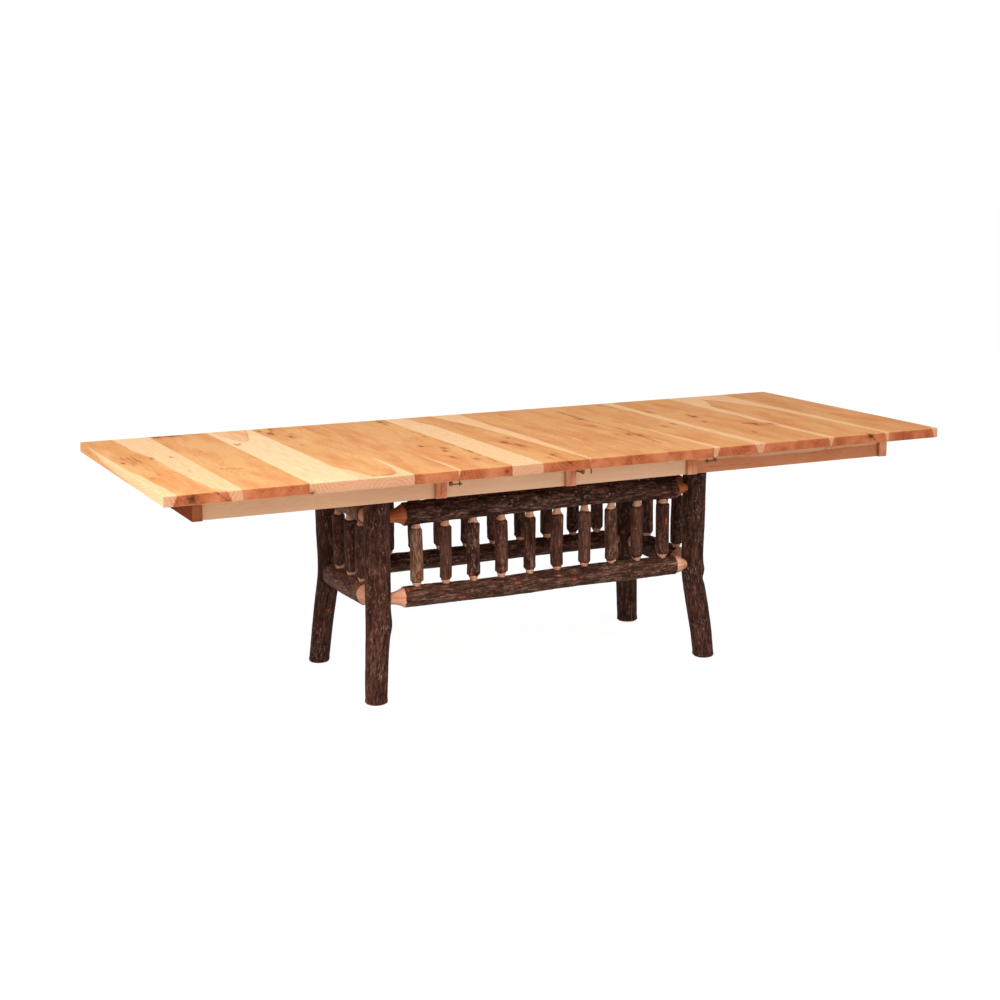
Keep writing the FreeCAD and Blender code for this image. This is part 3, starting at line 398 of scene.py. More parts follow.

# Share of the bark's length, wander sideways and up and girth, in radii; then how long the two peeled
# ends are, their shapes and how dark their wood is, where the dark wood of the upper front rail is
# mostly painted shade under the top; then knots and swellings as on the legs, by share of the length;
# then how smooth and how tan the bark is, where less than 0 is darker.
RAIL_GROWTH = {
    "upper_rail_front": (
        ((0, 0, 0.12, 1.07), (0.1, 0.01, 0.2, 1.1), (0.35, 0.04, 0.19, 1.1), (0.7, -0.03, 0.3, 1.06),
         (1, 0, -0.02, 0.98)), (0.047, 0.038), ("hollow", "stepped"), 0.95, (), (), (0.05, -0.1)),
    "upper_rail_back": (
        ((0, 0, 0, 0.97), (0.4, -0.04, 0.04, 1), (0.75, 0.03, -0.03, 0.96), (1, 0, 0, 0.98)), (0.050, 0.050),
        ("full", "full"), 0.5, (), (), (0.2, 0)),
    "lower_rail_front": (
        ((0, 0, 0, 0.99), (0.3, -0.06, -0.06, 0.97), (0.65, 0.06, 0.05, 1), (1, 0, 0, 0.96)), (0.045, 0.038),
        ("hollow", "full"), 0.08,
        ((0.006, 2.2, 0.010, 1), (0.19, -2.75, 0.006, 3.5), (0.39, 2.75, 0.006, 3),
         (0.6, -3.1, 0.007, 1.8)), ((0.44, -2.3, 0.03, 0.002),), (0.05, 0.1)),
    "lower_rail_back": (
        ((0, 0, 0, 1.01), (0.3, 0.05, -0.04, 0.97), (0.7, -0.05, 0.03, 0.93), (1, 0, 0, 0.95)),
        (0.050, 0.050), ("full", "full"), 0.5, (), (), (0.2, 0)),
    # The smooth tan bark of this rail is partly painted light, brightening a rail that lies in the top's
    # shade.
    "upper_rail_left": (
        ((0, 0, 0, 0.95), (0.5, 0.05, 0.04, 0.92), (1, 0, 0, 0.97)), (0.056, 0.056), ("full", "full"), 0.45,
        (), (), (0.9, 0.6)),
    "upper_rail_right": (
        ((0, 0, 0, 1), (0.5, -0.05, 0.03, 0.97), (1, 0, 0, 0.98)), (0.056, 0.056), ("full", "full"), 0.5, (),
        (), (0.3, 0)),
    "lower_rail_left": (
        ((0, 0, 0, 1), (0.5, -0.05, -0.04, 0.98), (1, 0, 0, 1)), (0.060, 0.012), ("full", "full"), 0.3,
        ((0.78, 1.6, 0.006, 1.2),), (), (0.1, 0.35)),
    "lower_rail_right": (
        ((0, 0, 0, 0.99), (0.5, 0.05, 0.03, 1.01), (1, 0, 0, 1)), (0.056, 0.056), ("full", "full"), 0.1, (),
        (), (0.2, 0)),
}


def peeled_rows(tenon, cone, bark, bark_far, cone_far, tenon_far, step):
    """Places along a pole with peeled ends, closest together at the bark's two edges."""
    edge = np.array((-0.006, -0.0035, -0.002, -0.001, 0, 0.001, 0.002, 0.0035, 0.006))
    near_cone, far_cone = np.linspace(cone, bark - 0.008, 14), np.linspace(bark_far + 0.008, cone_far, 14)
    between = np.linspace(bark + 0.009, bark_far - 0.009, int((bark_far - bark) / step))
    return np.unique(np.round(np.concatenate([(tenon, cone), near_cone, bark + edge, between,
                                              bark_far + edge, far_cone, (cone_far, tenon_far)]), 6))


def turned_down(rows, cone, bark, bark_far, cone_far, tenon_radius, wood_radius, shapes):
    """Radius of the wood: the tenon's, then up to the wood under the bark by the near end's shape,
    and back down at the far end by the other shape."""
    near = np.interp((rows - cone) / (bark - cone), *np.array(END_SHAPES[shapes[0]]).T)
    far = np.interp((cone_far - rows) / (cone_far - bark_far), *np.array(END_SHAPES[shapes[1]]).T)
    return tenon_radius + (wood_radius - tenon_radius) * np.minimum(near, far)


for seed, (name, rail_growth) in enumerate(RAIL_GROWTH.items(), 11):
    growth, peels, shapes, bare, marks, swellings, looks = rail_growth
    tier, _, side = name.split("_")
    axis = "x" if side in ("front", "back") else "y"
    first, last = LEG_MIDDLES[axis]
    first_peel, last_peel = peels
    cone, bark_start = first + CONE_START, first + CONE_START + first_peel
    cone_far, bark_stop = last - CONE_START, last - CONE_START - last_peel
    rows = peeled_rows(first + TENON_START, cone, bark_start, bark_stop, cone_far, last - TENON_START,
                       RAIL_STEP)
    shares, sideways, upward, girths = np.array(growth).T
    along_share = (rows - bark_start) / (bark_stop - bark_start)
    held = np.clip(np.minimum((rows - cone) / first_peel, (cone_far - rows) / last_peel), 0, 1)
    radius = RAIL_RADIUS[tier][axis]
    line = RAIL_AT[side] + radius * held * follow(along_share, shares, sideways)
    rise = RAIL_LEVELS[tier][axis] + radius * held * follow(along_share, shares, upward)
    middle = np.stack([rows * 0, line, rise] if axis == "x" else [line, rows * 0, rise], -1)
    under_bark = radius * follow(along_share, shares, girths) - RAIL_BARK
    wood = turned_down(rows, cone, bark_start, bark_stop, cone_far, TENON_RADIUS[axis], under_bark, shapes)
    length = bark_stop - bark_start
    knots = [(bark_start + spot * length, *rest) for spot, *rest in marks]
    bumps = [(bark_start + spot * length, *rest) for spot, *rest in swellings]
    log = pole(axis, rows, middle, wood, RAIL_BARK, (bark_start, bark_stop), 10 * seed, RAIL_COLUMNS,
               knots, bumps, looks, bare)
    rail = make_poles(name + "_log", [log], bark_finish)
    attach(rail, "base")
    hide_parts(name)


# Spindles: twenty-six hickory sticks with the bark on, upright between the two tiers of rails. Both
# ends are turned down with a short shoulder to a round tenon that is glued into the rail.

SPINDLE_RADIUS = 0.0213
SPINDLE_TENON = 0.0125
SPINDLE_SHOULDER = 0.010
SPINDLE_BARK = 0.0016
SPINDLE_BEND = 0.0014
SPINDLE_STEP = 0.0038
SPINDLE_COLUMNS = 52
SPINDLE_SPREAD = {"x": (-0.014, 0.5915), "y": (0.007, 0.233)}
SPINDLE_ENDS = {"x": (0.343, 0.3685, 0.5635, 0.589), "y": (0.340, 0.3685, 0.5605, 0.581)}
SPINDLE_GIRTHS = (1, 0.97, 1.02, 1, 0.96, 1.01, 0.98, 1.03, 1, 1.08)

# Share of the base's half length where each spindle stands, and how smooth and how tan its bark is.
SPINDLE_ROWS = {
    "front": (
        (-0.771, 0.3, 0.75), (-0.598, 1, 0.12), (-0.429, 0.1, 0), (-0.257, 0.9, 0), (-0.079, 0.6, 0),
        (0.093, 0.9, 0.05), (0.269, 0.95, 0.15), (0.443, 0, 0.2), (0.615, 0.9, 0.05), (0.786, 0.7, 0)),
    "back": (
        (-0.79, 0.3, 0), (-0.617, 0.5, 0.1), (-0.453, 0.1, 0), (-0.284, 0.6, 0.2), (-0.112, 0.2, 0),
        (0.068, 0.5, 0.1), (0.249, 0.3, 0), (0.433, 0.7, 0.1), (0.615, 0.2, 0), (0.784, 0.4, 0.1)),
    "left": ((-0.425, 0.5, 0.1), (0.03, 0.7, 0), (0.481, 0.8, 0)),
    "right": ((-0.515, 0.5, 0), (-0.077, 0.3, 0), (0.356, 0.7, 0)),
}
# Knots on the front spindles: spindle, height, turn, size and stretch.
SPINDLE_KNOTS = ((3, 0.515, 2.9, 0.009, 3.4), (8, 0.478, -2.3, 0.006, 1), (8, 0.43, 2.7, 0.004, 2),
                 (9, 0.492, -1.5, 0.0045, 4.5), (2, 0.385, -2.4, 0.006, 1.2), (0, 0.4, -1.6, 0.005, 2.5))

for row, (side, spots) in enumerate(SPINDLE_ROWS.items()):
    axis = "x" if side in ("front", "back") else "y"
    shift, spread = SPINDLE_SPREAD[axis]
    start, neck, head, stop = SPINDLE_ENDS[axis]
    sticks = []
    for count, (share, *looks) in enumerate(spots):
        seed = 10 * (30 + 12 * row + count)
        bark_start, bark_stop = neck + SPINDLE_SHOULDER, head - SPINDLE_SHOULDER
        rows = peeled_rows(start, neck, bark_start, bark_stop, head, stop, SPINDLE_STEP)
        bend = np.random.default_rng(seed).uniform(-SPINDLE_BEND, SPINDLE_BEND, (2, 4))
        held = np.clip(np.minimum(rows - neck, head - rows) / 0.02, 0, 1)
        marks = np.linspace(neck, head, 4)
        station = shift + share * spread + held * follow(rows, marks, bend[0])
        line = RAIL_AT[side] + held * follow(rows, marks, bend[1])
        middle = np.stack([station, line, rows * 0] if axis == "x" else [line, station, rows * 0], -1)
        inward = np.clip(np.minimum(rows - bark_start, bark_stop - rows) / 0.006, 0, 1)
        under_bark = SPINDLE_RADIUS * SPINDLE_GIRTHS[count] - SPINDLE_BARK - 0.0035 * (1 - inward)**2
        wood = turned_down(rows, neck, bark_start, bark_stop, head, SPINDLE_TENON, under_bark,
                           ("full", "full"))
        knots = [rest for owner, *rest in SPINDLE_KNOTS if (side, owner) == ("front", count)]
        sticks.append(pole("z", rows, middle, wood, SPINDLE_BARK, (bark_start, bark_stop), seed,
                           SPINDLE_COLUMNS, knots, (), looks, 0.1))
    spindles = make_poles("spindles_" + side + "_sticks", sticks, bark_finish)
    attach(spindles, "base")
    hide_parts("spindles_" + side)


# Planks: fifteen solid hickory boards with their grain across the table, glued edge to edge into the
# four sections of the top. Pale sapwood and tan heartwood show side by side. The edges are eased, and
# all is under a satin lacquer.

TOP_FACE = 0.792
TOP_UNDERSIDE = 0.7583
TOP_HALF_WIDTH = 0.5334
PLANK_STEP = 0.0062
PLANK_ROWS = 162
LINE_LEAN = 1.3
HEART_LEAN = 0.4
DRAWN_OUT = 0.4
HEART_SWAY = 0.003
PITH_BEYOND = 0.026
EDGE_EASE = 0.005
END_EASE = 0.003
SECTION_EDGES = {
    "left_top": (-1.3716, -0.45745),
    "left_leaf": (-0.45695, -0.00025),
    "right_leaf": (0.00025, 0.45695),
    "right_top": (0.45745, 1.3716),
}

# For each plank: its right edge as a share of the section, how deep its colour is, the left and right
# edges of its heartwood as (share from back to front, share of the plank's width), its knots as
# (share of width, share from back to front, size and, for one that stays inside, depth) and its dark
# lines as two such points and a width. FULL_LEFT and FULL_RIGHT are heartwood up to the plank's edge.
FULL_LEFT = ((0, -0.3), (1, -0.3))
FULL_RIGHT = ((0, 1.3), (1, 1.3))
PLANKS = {
    "left_top": (
        # The thin sapwood strip along this plank's left end is partly painted highlight: the light caught by
        # its eased edge.
        (0.2548, 0.42, ((0, 0.01), (0.25, 0.02), (0.54, 0.032), (0.6, 0.05), (0.68, 0.12), (1, 0.17)),
         ((0, 0.47), (0.25, 0.5), (0.4, 0.56), (0.7, 0.62), (0.94, 0.68), (1, 0.8)),
         ((0.12, 0.45, 0.006), (0.57, 0.4, 0.005), (0.83, 0.41, 0.004), (0.77, 0.66, 0.003),
          (0.19, 0.73, 0.004), (0.34, 0.42, 0.006), (0.35, 1, 0.010, 0.015)),
         ((0.2, 0.35, 0.22, 0.5, 0.003), (0.28, 0.36, 0.27, 0.48, 0.004), (0.35, 0.33, 0.36, 0.47, 0.003),
          (0.42, 0.3, 0.46, 0.37, 0.0025), (0.3, 0.55, 0.34, 0.7, 0.0025), (0.62, 0.985, 0.65, 1, 0.0035))),
        (0.4768, 0.46, FULL_LEFT, FULL_RIGHT, ((0.14, 0.01, 0.014), (0.34, 0.015, 0.011)),
         ((0.05, 0.01, 0.5, 0.02, 0.006), (0.2, 0.67, 0.5, 0.69, 0.003))),
        (0.6507, 0.05, ((0, 0.08), (0.1, 0.12), (0.2, 0.28), (0.24, 0.4), (1, 0.5)),
         ((0, 0.88), (0.1, 0.74), (0.2, 0.56), (0.24, 0.4), (1, 0.3)),
         ((0.13, 0.28, 0.006), (0.04, 1, 0.006, 0.032)),
         ((0.88, 0, 0.56, 0.2, 0.0022), (0.56, 0.2, 0.3, 0.245, 0.002), (0.3, 0.245, 0.13, 0.28, 0.0025))),
        (0.842, 0.42,
         ((0, -0.3), (0.7, -0.2), (0.8, 0.02), (0.87, 0.14), (0.96, 0.25), (0.985, 0.5), (1, 0.7)),
         ((0, 1.3), (0.62, 1.1), (0.7, 0.95), (0.85, 0.9), (0.95, 0.8), (0.985, 0.62), (1, 0.5)),
         ((0.37, 0.03, 0.009), (0.2, 0.12, 0.011), (0.43, 0.21, 0.010), (0.3, 0.38, 0.004),
          (0.1, 0.05, 0.006), (0.55, 0.16, 0.005)),
         ((0.45, 0, 0.2, 0.13, 0.004), (0.28, 0.975, 0.75, 0.97, 0.003))),
        (1, 0.58, FULL_LEFT, FULL_RIGHT, ((0.42, 0.88, 0.003),), ()),
    ),
    "left_leaf": (
        (0.4, 0.5, ((0, -0.1), (0.7, -0.05), (0.8, 0.03), (1, 0.06)), FULL_RIGHT,
         ((0.83, 0.05, 0.010), (0.4, 0.57, 0.007), (0.7, 0.63, 0.008), (0.58, 0.68, 0.006),
          (0.44, 0.79, 0.009), (0.74, 0.85, 0.007), (0.97, 0.72, 0.006), (0.9, 0.4, 0.005),
          (0.9, 1, 0.004, 0.018)),
         ((0.85, 0, 0.8, 0.12, 0.005), (0.9, 0.25, 0.95, 0.4, 0.003), (0.96, 0.5, 0.97, 0.6, 0.004),
          (0.95, 0.66, 0.94, 0.8, 0.004), (0.93, 0.85, 0.92, 0.92, 0.003), (0.7, 0.62, 0.55, 0.69, 0.003))),
        (0.635, 0.42, ((0, 0.68), (0.13, 0.88), (0.27, 1.05), (1, 1.2)), ((0, 1.5), (1, 1.5)), (), ()),
        (1, 0.54, FULL_LEFT, ((0, 0.47), (0.2, 0.67), (0.43, 0.8), (0.65, 0.88), (0.92, 0.97), (1, 0.95)),
         ((0.67, 0.545, 0.007), (0.37, 0.62, 0.011), (0.49, 0.69, 0.011), (0.55, 0.89, 0.008),
          (0.35, 0.93, 0.005)), ((0.35, 0.6, 0.52, 0.72, 0.005), (0.55, 0.88, 0.5, 1, 0.004))),
    ),
    "right_leaf": (
        (0.33, 0.6, ((0, 0.14), (0.7, 0.12), (0.93, 0.08), (1, 0.03)), FULL_RIGHT, ((0.6, 0.79, 0.003),),
         ((0.95, 0.7, 0.97, 0.9, 0.002),)),
        (0.62, 0.66, FULL_LEFT, FULL_RIGHT, (), ((0.83, 0.33, 0.85, 0.9, 0.002),)),
        (1, 0.6, FULL_LEFT, FULL_RIGHT,
         ((0.46, 0.29, 0.009), (0.26, 0.45, 0.007), (0.14, 0.64, 0.005), (0.5, 0.69, 0.008),
          (0.38, 0.66, 0.008)),
         ((0.54, 0.13, 0.5, 0.32, 0.008), (0.5, 0.32, 0.58, 0.52, 0.004), (0.58, 0.52, 0.5, 0.7, 0.006),
          (0.5, 0.7, 0.38, 0.84, 0.005))),
    ),
    "right_top": (
        (0.205, 0.62, ((0, -0.3), (0.34, -0.05), (0.5, 0.03), (0.65, 0.07), (1, 0.11)),
         ((0, 0.9), (0.5, 0.88), (0.92, 0.88), (1, 0.83)),
         ((0.47, 0.57, 0.008), (0.79, 0.53, 0.006), (0.72, 0.2, 0.005)), ((0.7, 0, 0.85, 0.12, 0.006),)),
        (0.51, 0.66, ((0, 0.1), (0.3, 0.05), (1, 0.04)), ((0, 1), (0.4, 0.95), (1, 0.94)),
         ((0.1, 0.27, 0.007), (0.42, 0.42, 0.011), (0.3, 0.54, 0.007), (0.78, 0.655, 0.013),
          (0.97, 0.68, 0.009), (0.4, 0.8, 0.006)),
         ((0.45, 0.37, 0.4, 0.44, 0.005), (0.68, 0.63, 0.86, 0.68, 0.006))),
        (0.77, 0.64,
         ((0, 0.46), (0.1, 0.43), (0.14, 0.36), (0.25, 0.16), (0.4, 0.1), (0.7, 0.05), (1, 0.05)),
         ((0, 0.4), (0.1, 0.5), (0.14, 0.58), (0.25, 0.74), (0.4, 0.84), (0.7, 0.9), (1, 0.93)),
         ((0.68, 0.995, 0.007, 0.006),), ((0.6, 0.975, 0.64, 1, 0.003),)),
        (1, 0.68, ((0, 0.03), (1, 0.02)), ((0, 1.3), (0.93, 1.3), (0.98, 0.94), (1, 0.88)), (),
         ((0.6, 0, 0.75, 0.05, 0.004),)),
    ),
}


def figure(width, length, thick, wide, long, seed):
    """How far each spot of a board lies from the middle of the tree, in metres: its distance, across
    the grain, to a pith line that sways beyond one face of the board as it runs along it."""
    chance = np.random.default_rng(seed)
    phase, reach = chance.uniform(0, 6.28, 4), long * chance.uniform(0.7, 1.3, 4)
    waves = [np.sin(length * 6.28 / reach[k] * (1 + k % 2) + phase[k]) for k in range(4)]
    side = wide * (chance.uniform(0.3, 0.7) + 0.09 * waves[0] + 0.03 * waves[1])
    depth = PITH_BEYOND + 0.012 * waves[2] + 0.005 * waves[3]
    return np.hypot(width - side, thick + depth)


def board(box, order, ease_long, ease_sides, steps, look):
    """A board with eased edges, its grain along the second of its three axes in order (across, along,
    through). A rounded outline, seen from the side, is carried across the board. It is drawn in by a
    quarter round at an eased side. look gives the board's seed, depth of colour, heartwood edges, knots
    and dark lines; the fields say how each spot lies to them, in millimetres or knot sizes. Through the
    board the lines and the heartwood's edges lean, and knots and lines are drawn out along the grain."""
    (across, across_far), (along, along_far), (through, through_far) = [box[k] for k in order]
    seed, tone, heart_left, heart_right, knots, lines = look
    wide, long = across_far - across, along_far - along
    swing = np.radians(np.linspace(0, 67.5, 4))
    onward, inward = 1 - np.cos(swing), 1 - np.sin(swing)
    ease, ease_far = ease_sides
    level = np.linspace(across + ease, across_far - ease_far, steps[0] + 1)
    parts = [(across + ease * onward, ease * inward)] if ease else []
    parts.append((level, 0 * level))
    if ease_far:
        parts.append((across_far - ease_far * onward[::-1], ease_far * inward[::-1]))
    columns, drawn = np.concatenate(parts, axis=1)
    run = np.linspace(along + ease_long, along_far - ease_long, steps[1] + 1)
    count, inner = len(run), 3
    low, high = through + ease_long, through_far - ease_long
    between = np.linspace(low, high, inner + 2)[1:-1]
    quarter = np.arange(1, 5) * 22.5
    angles = np.radians(np.concatenate([np.full(count, -90), quarter - 90, np.zeros(inner + 1), quarter,
                                        np.full(count - 1, 90), quarter + 90, np.full(inner + 1, 180),
                                        quarter[:3] + 180]))
    core_l = np.concatenate([run, np.full(inner + 9, run[-1]), run[::-1][1:], np.full(inner + 8, run[0])])
    core_t = np.concatenate([np.full(count + 4, low), between, np.full(count + 8, high), between[::-1],
                             np.full(4, low)])
    out_l, out_t = np.cos(angles), np.sin(angles)
    reach = ease_long - drawn[:, None]
    length = core_l + out_l * reach
    thick = core_t + out_t * reach
    width = np.broadcast_to(columns[:, None], length.shape)
    share_across = (width - across) / wide
    share_along = (along_far - length) / long
    beyond = through_far - thick if seed % 2 else thick - through
    rings = figure(width - across, length - along, beyond, wide, long, seed)
    wobble = HEART_SWAY * (np.sin(length * 9 + seed) + 0.4 * np.sin(length * 31 + 2 * seed))
    left = np.interp(share_along, *np.array(heart_left).T) * wide + wobble
    right = np.interp(share_along, *np.array(heart_right).T) * wide + wobble
    heart = np.minimum(width - across - left, across + right - width) + HEART_LEAN * (through_far - thick)
    knot = np.full(length.shape, 6.0)
    for knot_across, knot_along, size, *depth in knots:
        off_across = (share_across - knot_across) * wide
        off_along = (share_along - knot_along) * long * DRAWN_OUT
        off_through = through_far - thick - depth[0] if depth else 0
        near = np.hypot(np.hypot(off_across, off_along), off_through) / size
        knot = np.minimum(knot, near)
        rings = rings + 1.1 * size * np.exp(-(near / 2.2)**2)
    line = np.full(length.shape, 6.0)
    for a0, l0, a1, l1, girth in lines:
        reach_a, reach_l = (a1 - a0) * wide, (l1 - l0) * long
        off_a = (share_across - a0) * wide - LINE_LEAN * (through_far - thick)
        off_l = (share_along - l0) * long
        share = np.clip((off_a * reach_a + off_l * reach_l) / (reach_a**2 + reach_l**2), 0, 1)
        off = np.hypot(off_a - share * reach_a, (off_l - share * reach_l) * DRAWN_OUT)
        line = np.minimum(line, off / girth)
    place = np.empty(length.shape + (3,))
    for axis, values in zip(order, (width, length, thick)):
        place[..., axis] = values
    grid = {
        "points": place,
        "grown": np.stack([width, length, thick], -1) + seed * np.array((0.37, 0.61, 0.23)),
        "rings": rings * 1000,
        "heart": np.clip(heart * 1000, -60, 60),
        "knot": knot,
        "line": line,
        "tone": np.full(length.shape, tone),
        "end": np.clip(np.abs(out_l) * 1.6 - 0.5, 0, 1) + 0 * reach,
    }
    rows, around = length.shape
    edge = np.arange(around)
    foot, head = edge[:count], edge[count + inner + 8:2 * count + inner + 8][::-1]
    strip = np.stack([foot[:-1], foot[1:], head[1:], head[:-1]], -1)
    far_end = edge[count - 1:count + inner + 9][None, :]
    near_end = np.concatenate([edge[2 * count + inner + 7:], edge[:1]])[None, :]
    caps = [strip, far_end, near_end]
    near_caps, far_caps = [cap[:, ::-1] for cap in caps], [cap + (rows - 1) * around for cap in caps]
    faces = [bands(rows, around)] + near_caps + far_caps
    if order in ((0, 2, 1), (1, 0, 2), (2, 1, 0)):
        faces = [group[:, ::-1] for group in faces]
    side = np.repeat((False, True, False, True), (count - 1, 4, inner + 1, 4))
    rounded = np.tile(side, 2) | (drawn[:-1] + drawn[1:] > 0)[:, None]
    smooth = [rounded.ravel()] + [np.zeros(len(group), bool) for group in faces[1:]]
    return grid, faces, smooth


def make_boards(name, boards, material):
    """One piece from one or more boards, each with its own grid of points, faces and smooth faces."""
    grids, groups, smooths = zip(*boards)
    starts = np.cumsum([0] + [grid["knot"].size for grid in grids])
    faces = [np.concatenate([group + start for group, start in zip(kind, starts)]) for kind in zip(*groups)]
    smooth = np.concatenate([part for kind in zip(*smooths) for part in kind])
    fields = {field: np.concatenate([grid[field].reshape(grid["knot"].size, -1) for grid in grids])
              for field in grids[0]}
    return make_piece(name, fields, faces, material, smooth)


def wood_finish(name, saps, hearts, ends, figured, rough):
    """Lacquered hickory: sapwood in two tones and heartwood in three, growth rings that follow the
    board's own figure, pores drawn out along the grain, knots, dark lines, and end grain in a tone
    for sapwood and two for heartwood. figured is how strongly rings and fibres show."""
    material, node, span, noise, blend, ramp, coat, field, plus, times = finish_named(name)
    grown = field("grown", "Vector")
    rings, heart, knot_near = field("rings"), field("heart"), field("knot")
    line, tone, end = field("line"), field("tone"), field("end")
    fibre = noise(grown, 230, 6, 0.6, (1, 0.035, 1))
    cloud = noise(grown, 17, 4, 0.5, (1, 0.22, 1))
    pores = noise(grown, 1100, 2, 0.5, (1, 0.03, 1))
    fine = noise(grown, 700, 3)
    ragged = noise(grown, 110, 4, 0.6, (1, 0.4, 1))
    ring_sway = plus(plus(rings, cloud, 9), fibre, 1.6)
    ring = node("Math", {0: times(ring_sway, 0.27)}, operation="FRACT")
    early = ramp(ring, (0, 0), (0.55, 0.25), (0.86, 1), (0.94, 0.75), (1, 0))
    heart_edge = plus(plus(heart, cloud, 7), fibre, 7)
    in_heart = span(heart_edge, 4.8, 9.2)
    sapwood = blend(tone, *saps)
    heartwood = ramp(tone, *zip((0, 0.3, 1), hearts))
    heartwood = blend(ramp(cloud, (0.42, 0), (0.64, 0.4)), heartwood, (228, 168, 124), "MULTIPLY")
    wood = blend(in_heart, sapwood, heartwood)
    wood = blend(ramp(early, (0, 0), (1, 0.26 * figured)), wood, (216, 156, 110), "MULTIPLY")
    wood = blend(ramp(fibre, (0.42, 0), (0.7, 0.3 * figured)), wood, (212, 150, 104), "MULTIPLY")
    wood = blend(ramp(pores, (0.6, 0), (0.72, 0.26 * figured)), wood, (160, 100, 64), "MULTIPLY")
    near = times(plus(knot_near, ragged, 4), 0.2)
    wood = blend(ramp(near, (0.5, 0.6), (0.72, 0.3), (1, 0)), wood, (204, 130, 74))
    wood = blend(ramp(near, (0.36, 0.9), (0.48, 0.7), (0.6, 0.15), (0.7, 0)), wood, (134, 70, 34))
    smear = span(plus(plus(line, ragged, 5), fibre, 2), 3, 5.2, 0.75, 0)
    wood = blend(smear, wood, (150, 80, 40))
    arcs = node("Math", {0: times(ring_sway, 0.085)}, operation="FRACT")
    arcs = ramp(arcs, (0, 0), (0.5, 0.1), (0.8, 0.8), (1, 0))
    cut_sap, light_cut, deep_cut = ends
    cut_heart = blend(ramp(cloud, (0.35, 0), (0.65, 1)), light_cut, deep_cut)
    cut_end = blend(in_heart, cut_sap, cut_heart)
    # Deeper end grain on the deepest-toned pieces: partly painted shade, for the left end rail under the top.
    cut_end = blend(ramp(tone, (0.7, 0), (1, 1)), cut_end, (187, 163, 147), "MULTIPLY")
    arcs = times(arcs, ramp(cloud, (0.4, 0.08), (0.62, 0.5)))
    cut_end = blend(arcs, cut_end, (190, 124, 96), "MULTIPLY")
    cut_end = blend(ramp(early, (0, 0), (1, 0.12)), cut_end, (186, 120, 90), "MULTIPLY")
    cut_end = blend(ramp(fine, (0.5, 0), (0.68, 0.4)), cut_end, (150, 92, 66), "MULTIPLY")
    cut_end = blend(ramp(near, (0.38, 0.95), (0.56, 0.75), (0.75, 0.3), (1, 0)), cut_end, (70, 24, 12))
    cut_end = blend(smear, cut_end, (40, 14, 8))
    colour = blend(end, wood, cut_end)
    dull = span(fibre, 0.3, 0.75, rough, rough + 0.13)
    relief = node("Mix", {0: end, 2: fibre, 3: fine})
    coat(colour, dull, relief, 0.18, 0.0006, 0.002)
    return material


plank_finish = wood_finish("lacquered_hickory_planks", ((252, 219, 172), (242, 190, 138)),
                           ((248, 206, 158), (237, 185, 124), (224, 159, 106)),
                           ((190, 143, 109), (178, 109, 73), (150, 80, 49)), 1.0, 0.4)

for count, (section, planks) in enumerate(PLANKS.items()):
    low, high = SECTION_EDGES[section]
    boards, left_edge = [], low
    for number, (share, tone, heart_left, heart_right, knots, lines) in enumerate(planks):
        right_edge = low + share * (high - low)
        sides = (END_EASE if (section, number) == ("left_top", 0) else 0,
                 END_EASE if (section, share) == ("right_top", 1) else 0)
        box = ((left_edge, right_edge), (-TOP_HALF_WIDTH, TOP_HALF_WIDTH), (TOP_UNDERSIDE, TOP_FACE))
        steps = (int((right_edge - left_edge) / PLANK_STEP), PLANK_ROWS)
        look = (10 * count + number + 1, tone, heart_left, heart_right, knots, lines)
        boards.append(board(box, (0, 1, 2), EDGE_EASE, sides, steps, look))
        left_edge = right_edge
    planks_piece = make_boards(section + "_planks", boards, plank_finish)
    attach(planks_piece, section)
    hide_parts(section + "_boards")


# Aprons, end rails and seam blocks: hickory boards on edge, glued under the planks. Aprons run along
# the table and end rails across it. A seam block shows its end grain to the front.

apron_finish = wood_finish("lacquered_hickory_aprons", ((210, 175, 145), (190, 148, 115)),
                           ((214, 166, 130), (204, 146, 108), (128, 62, 38)),
                           ((200, 150, 116), (208, 150, 118), (188, 122, 90)), 0.4, 0.42)

BOARD_EASE = 0.0012
LOWER_EASE = 0.001
BLOCK_THICK = 0.018
BLOCK_INNER = 0.20005
BLOCK_OUTER = 0.405
HEART_FROM_EDGE = ((0, -1), (1, -1))
FINE_STEPS = (30, 240)
LONG_STEPS = (12, 60)
SHORT_STEPS = (12, 36)

# Depth of colour and heartwood share of each apron's width for every piece, and the dark lines of the
# one that has some, as on the planks: two points on its inner face as (share from the lower edge,
# share from the right end) and a width. They lean, and come out 26 mm higher on the outer face.
APRON_LOOKS = {
    "left_apron_front": (0.4, -1), "left_apron_back": (0.3, 2), "left_leaf_apron_front": (0.15, -1),
    "left_leaf_apron_back": (0.5, 2), "right_leaf_apron_front": (0.12, -1),
    "right_leaf_apron_back": (0.2, 2), "right_apron_front": (0.55, 0.44), "right_apron_back": (0.4, 2),
    # The left end rail's deepest tone is partly painted shade, for its faces under the top's overhang.
    "left_end_rail": (1, 2), "right_end_rail": (0.6, 2),
}
APRON_LINES = {
    "right_apron_front": (
        (0.36, 0.99, 0.3, 0.8, 0.0022), (0.3, 0.8, 0.32, 0.56, 0.003), (0.32, 0.56, 0.61, 0.4, 0.0022),
        (0.06, 0.47, 0.18, 0.26, 0.0018), (-0.09, 0.95, -0.14, 0.72, 0.0016), (0.26, 0.3, 0.41, 0.1, 0.0016)),
}
BLOCK_NODES = ("left_seam_blocks", "left_leaf_seam_blocks", "right_leaf_seam_blocks", "right_seam_blocks")


def body_of_node(node):
    """The body that carries a node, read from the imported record."""
    return next(body for body, nodes in frame["record"]["behaviour"]["bodies"].items() if node in nodes)


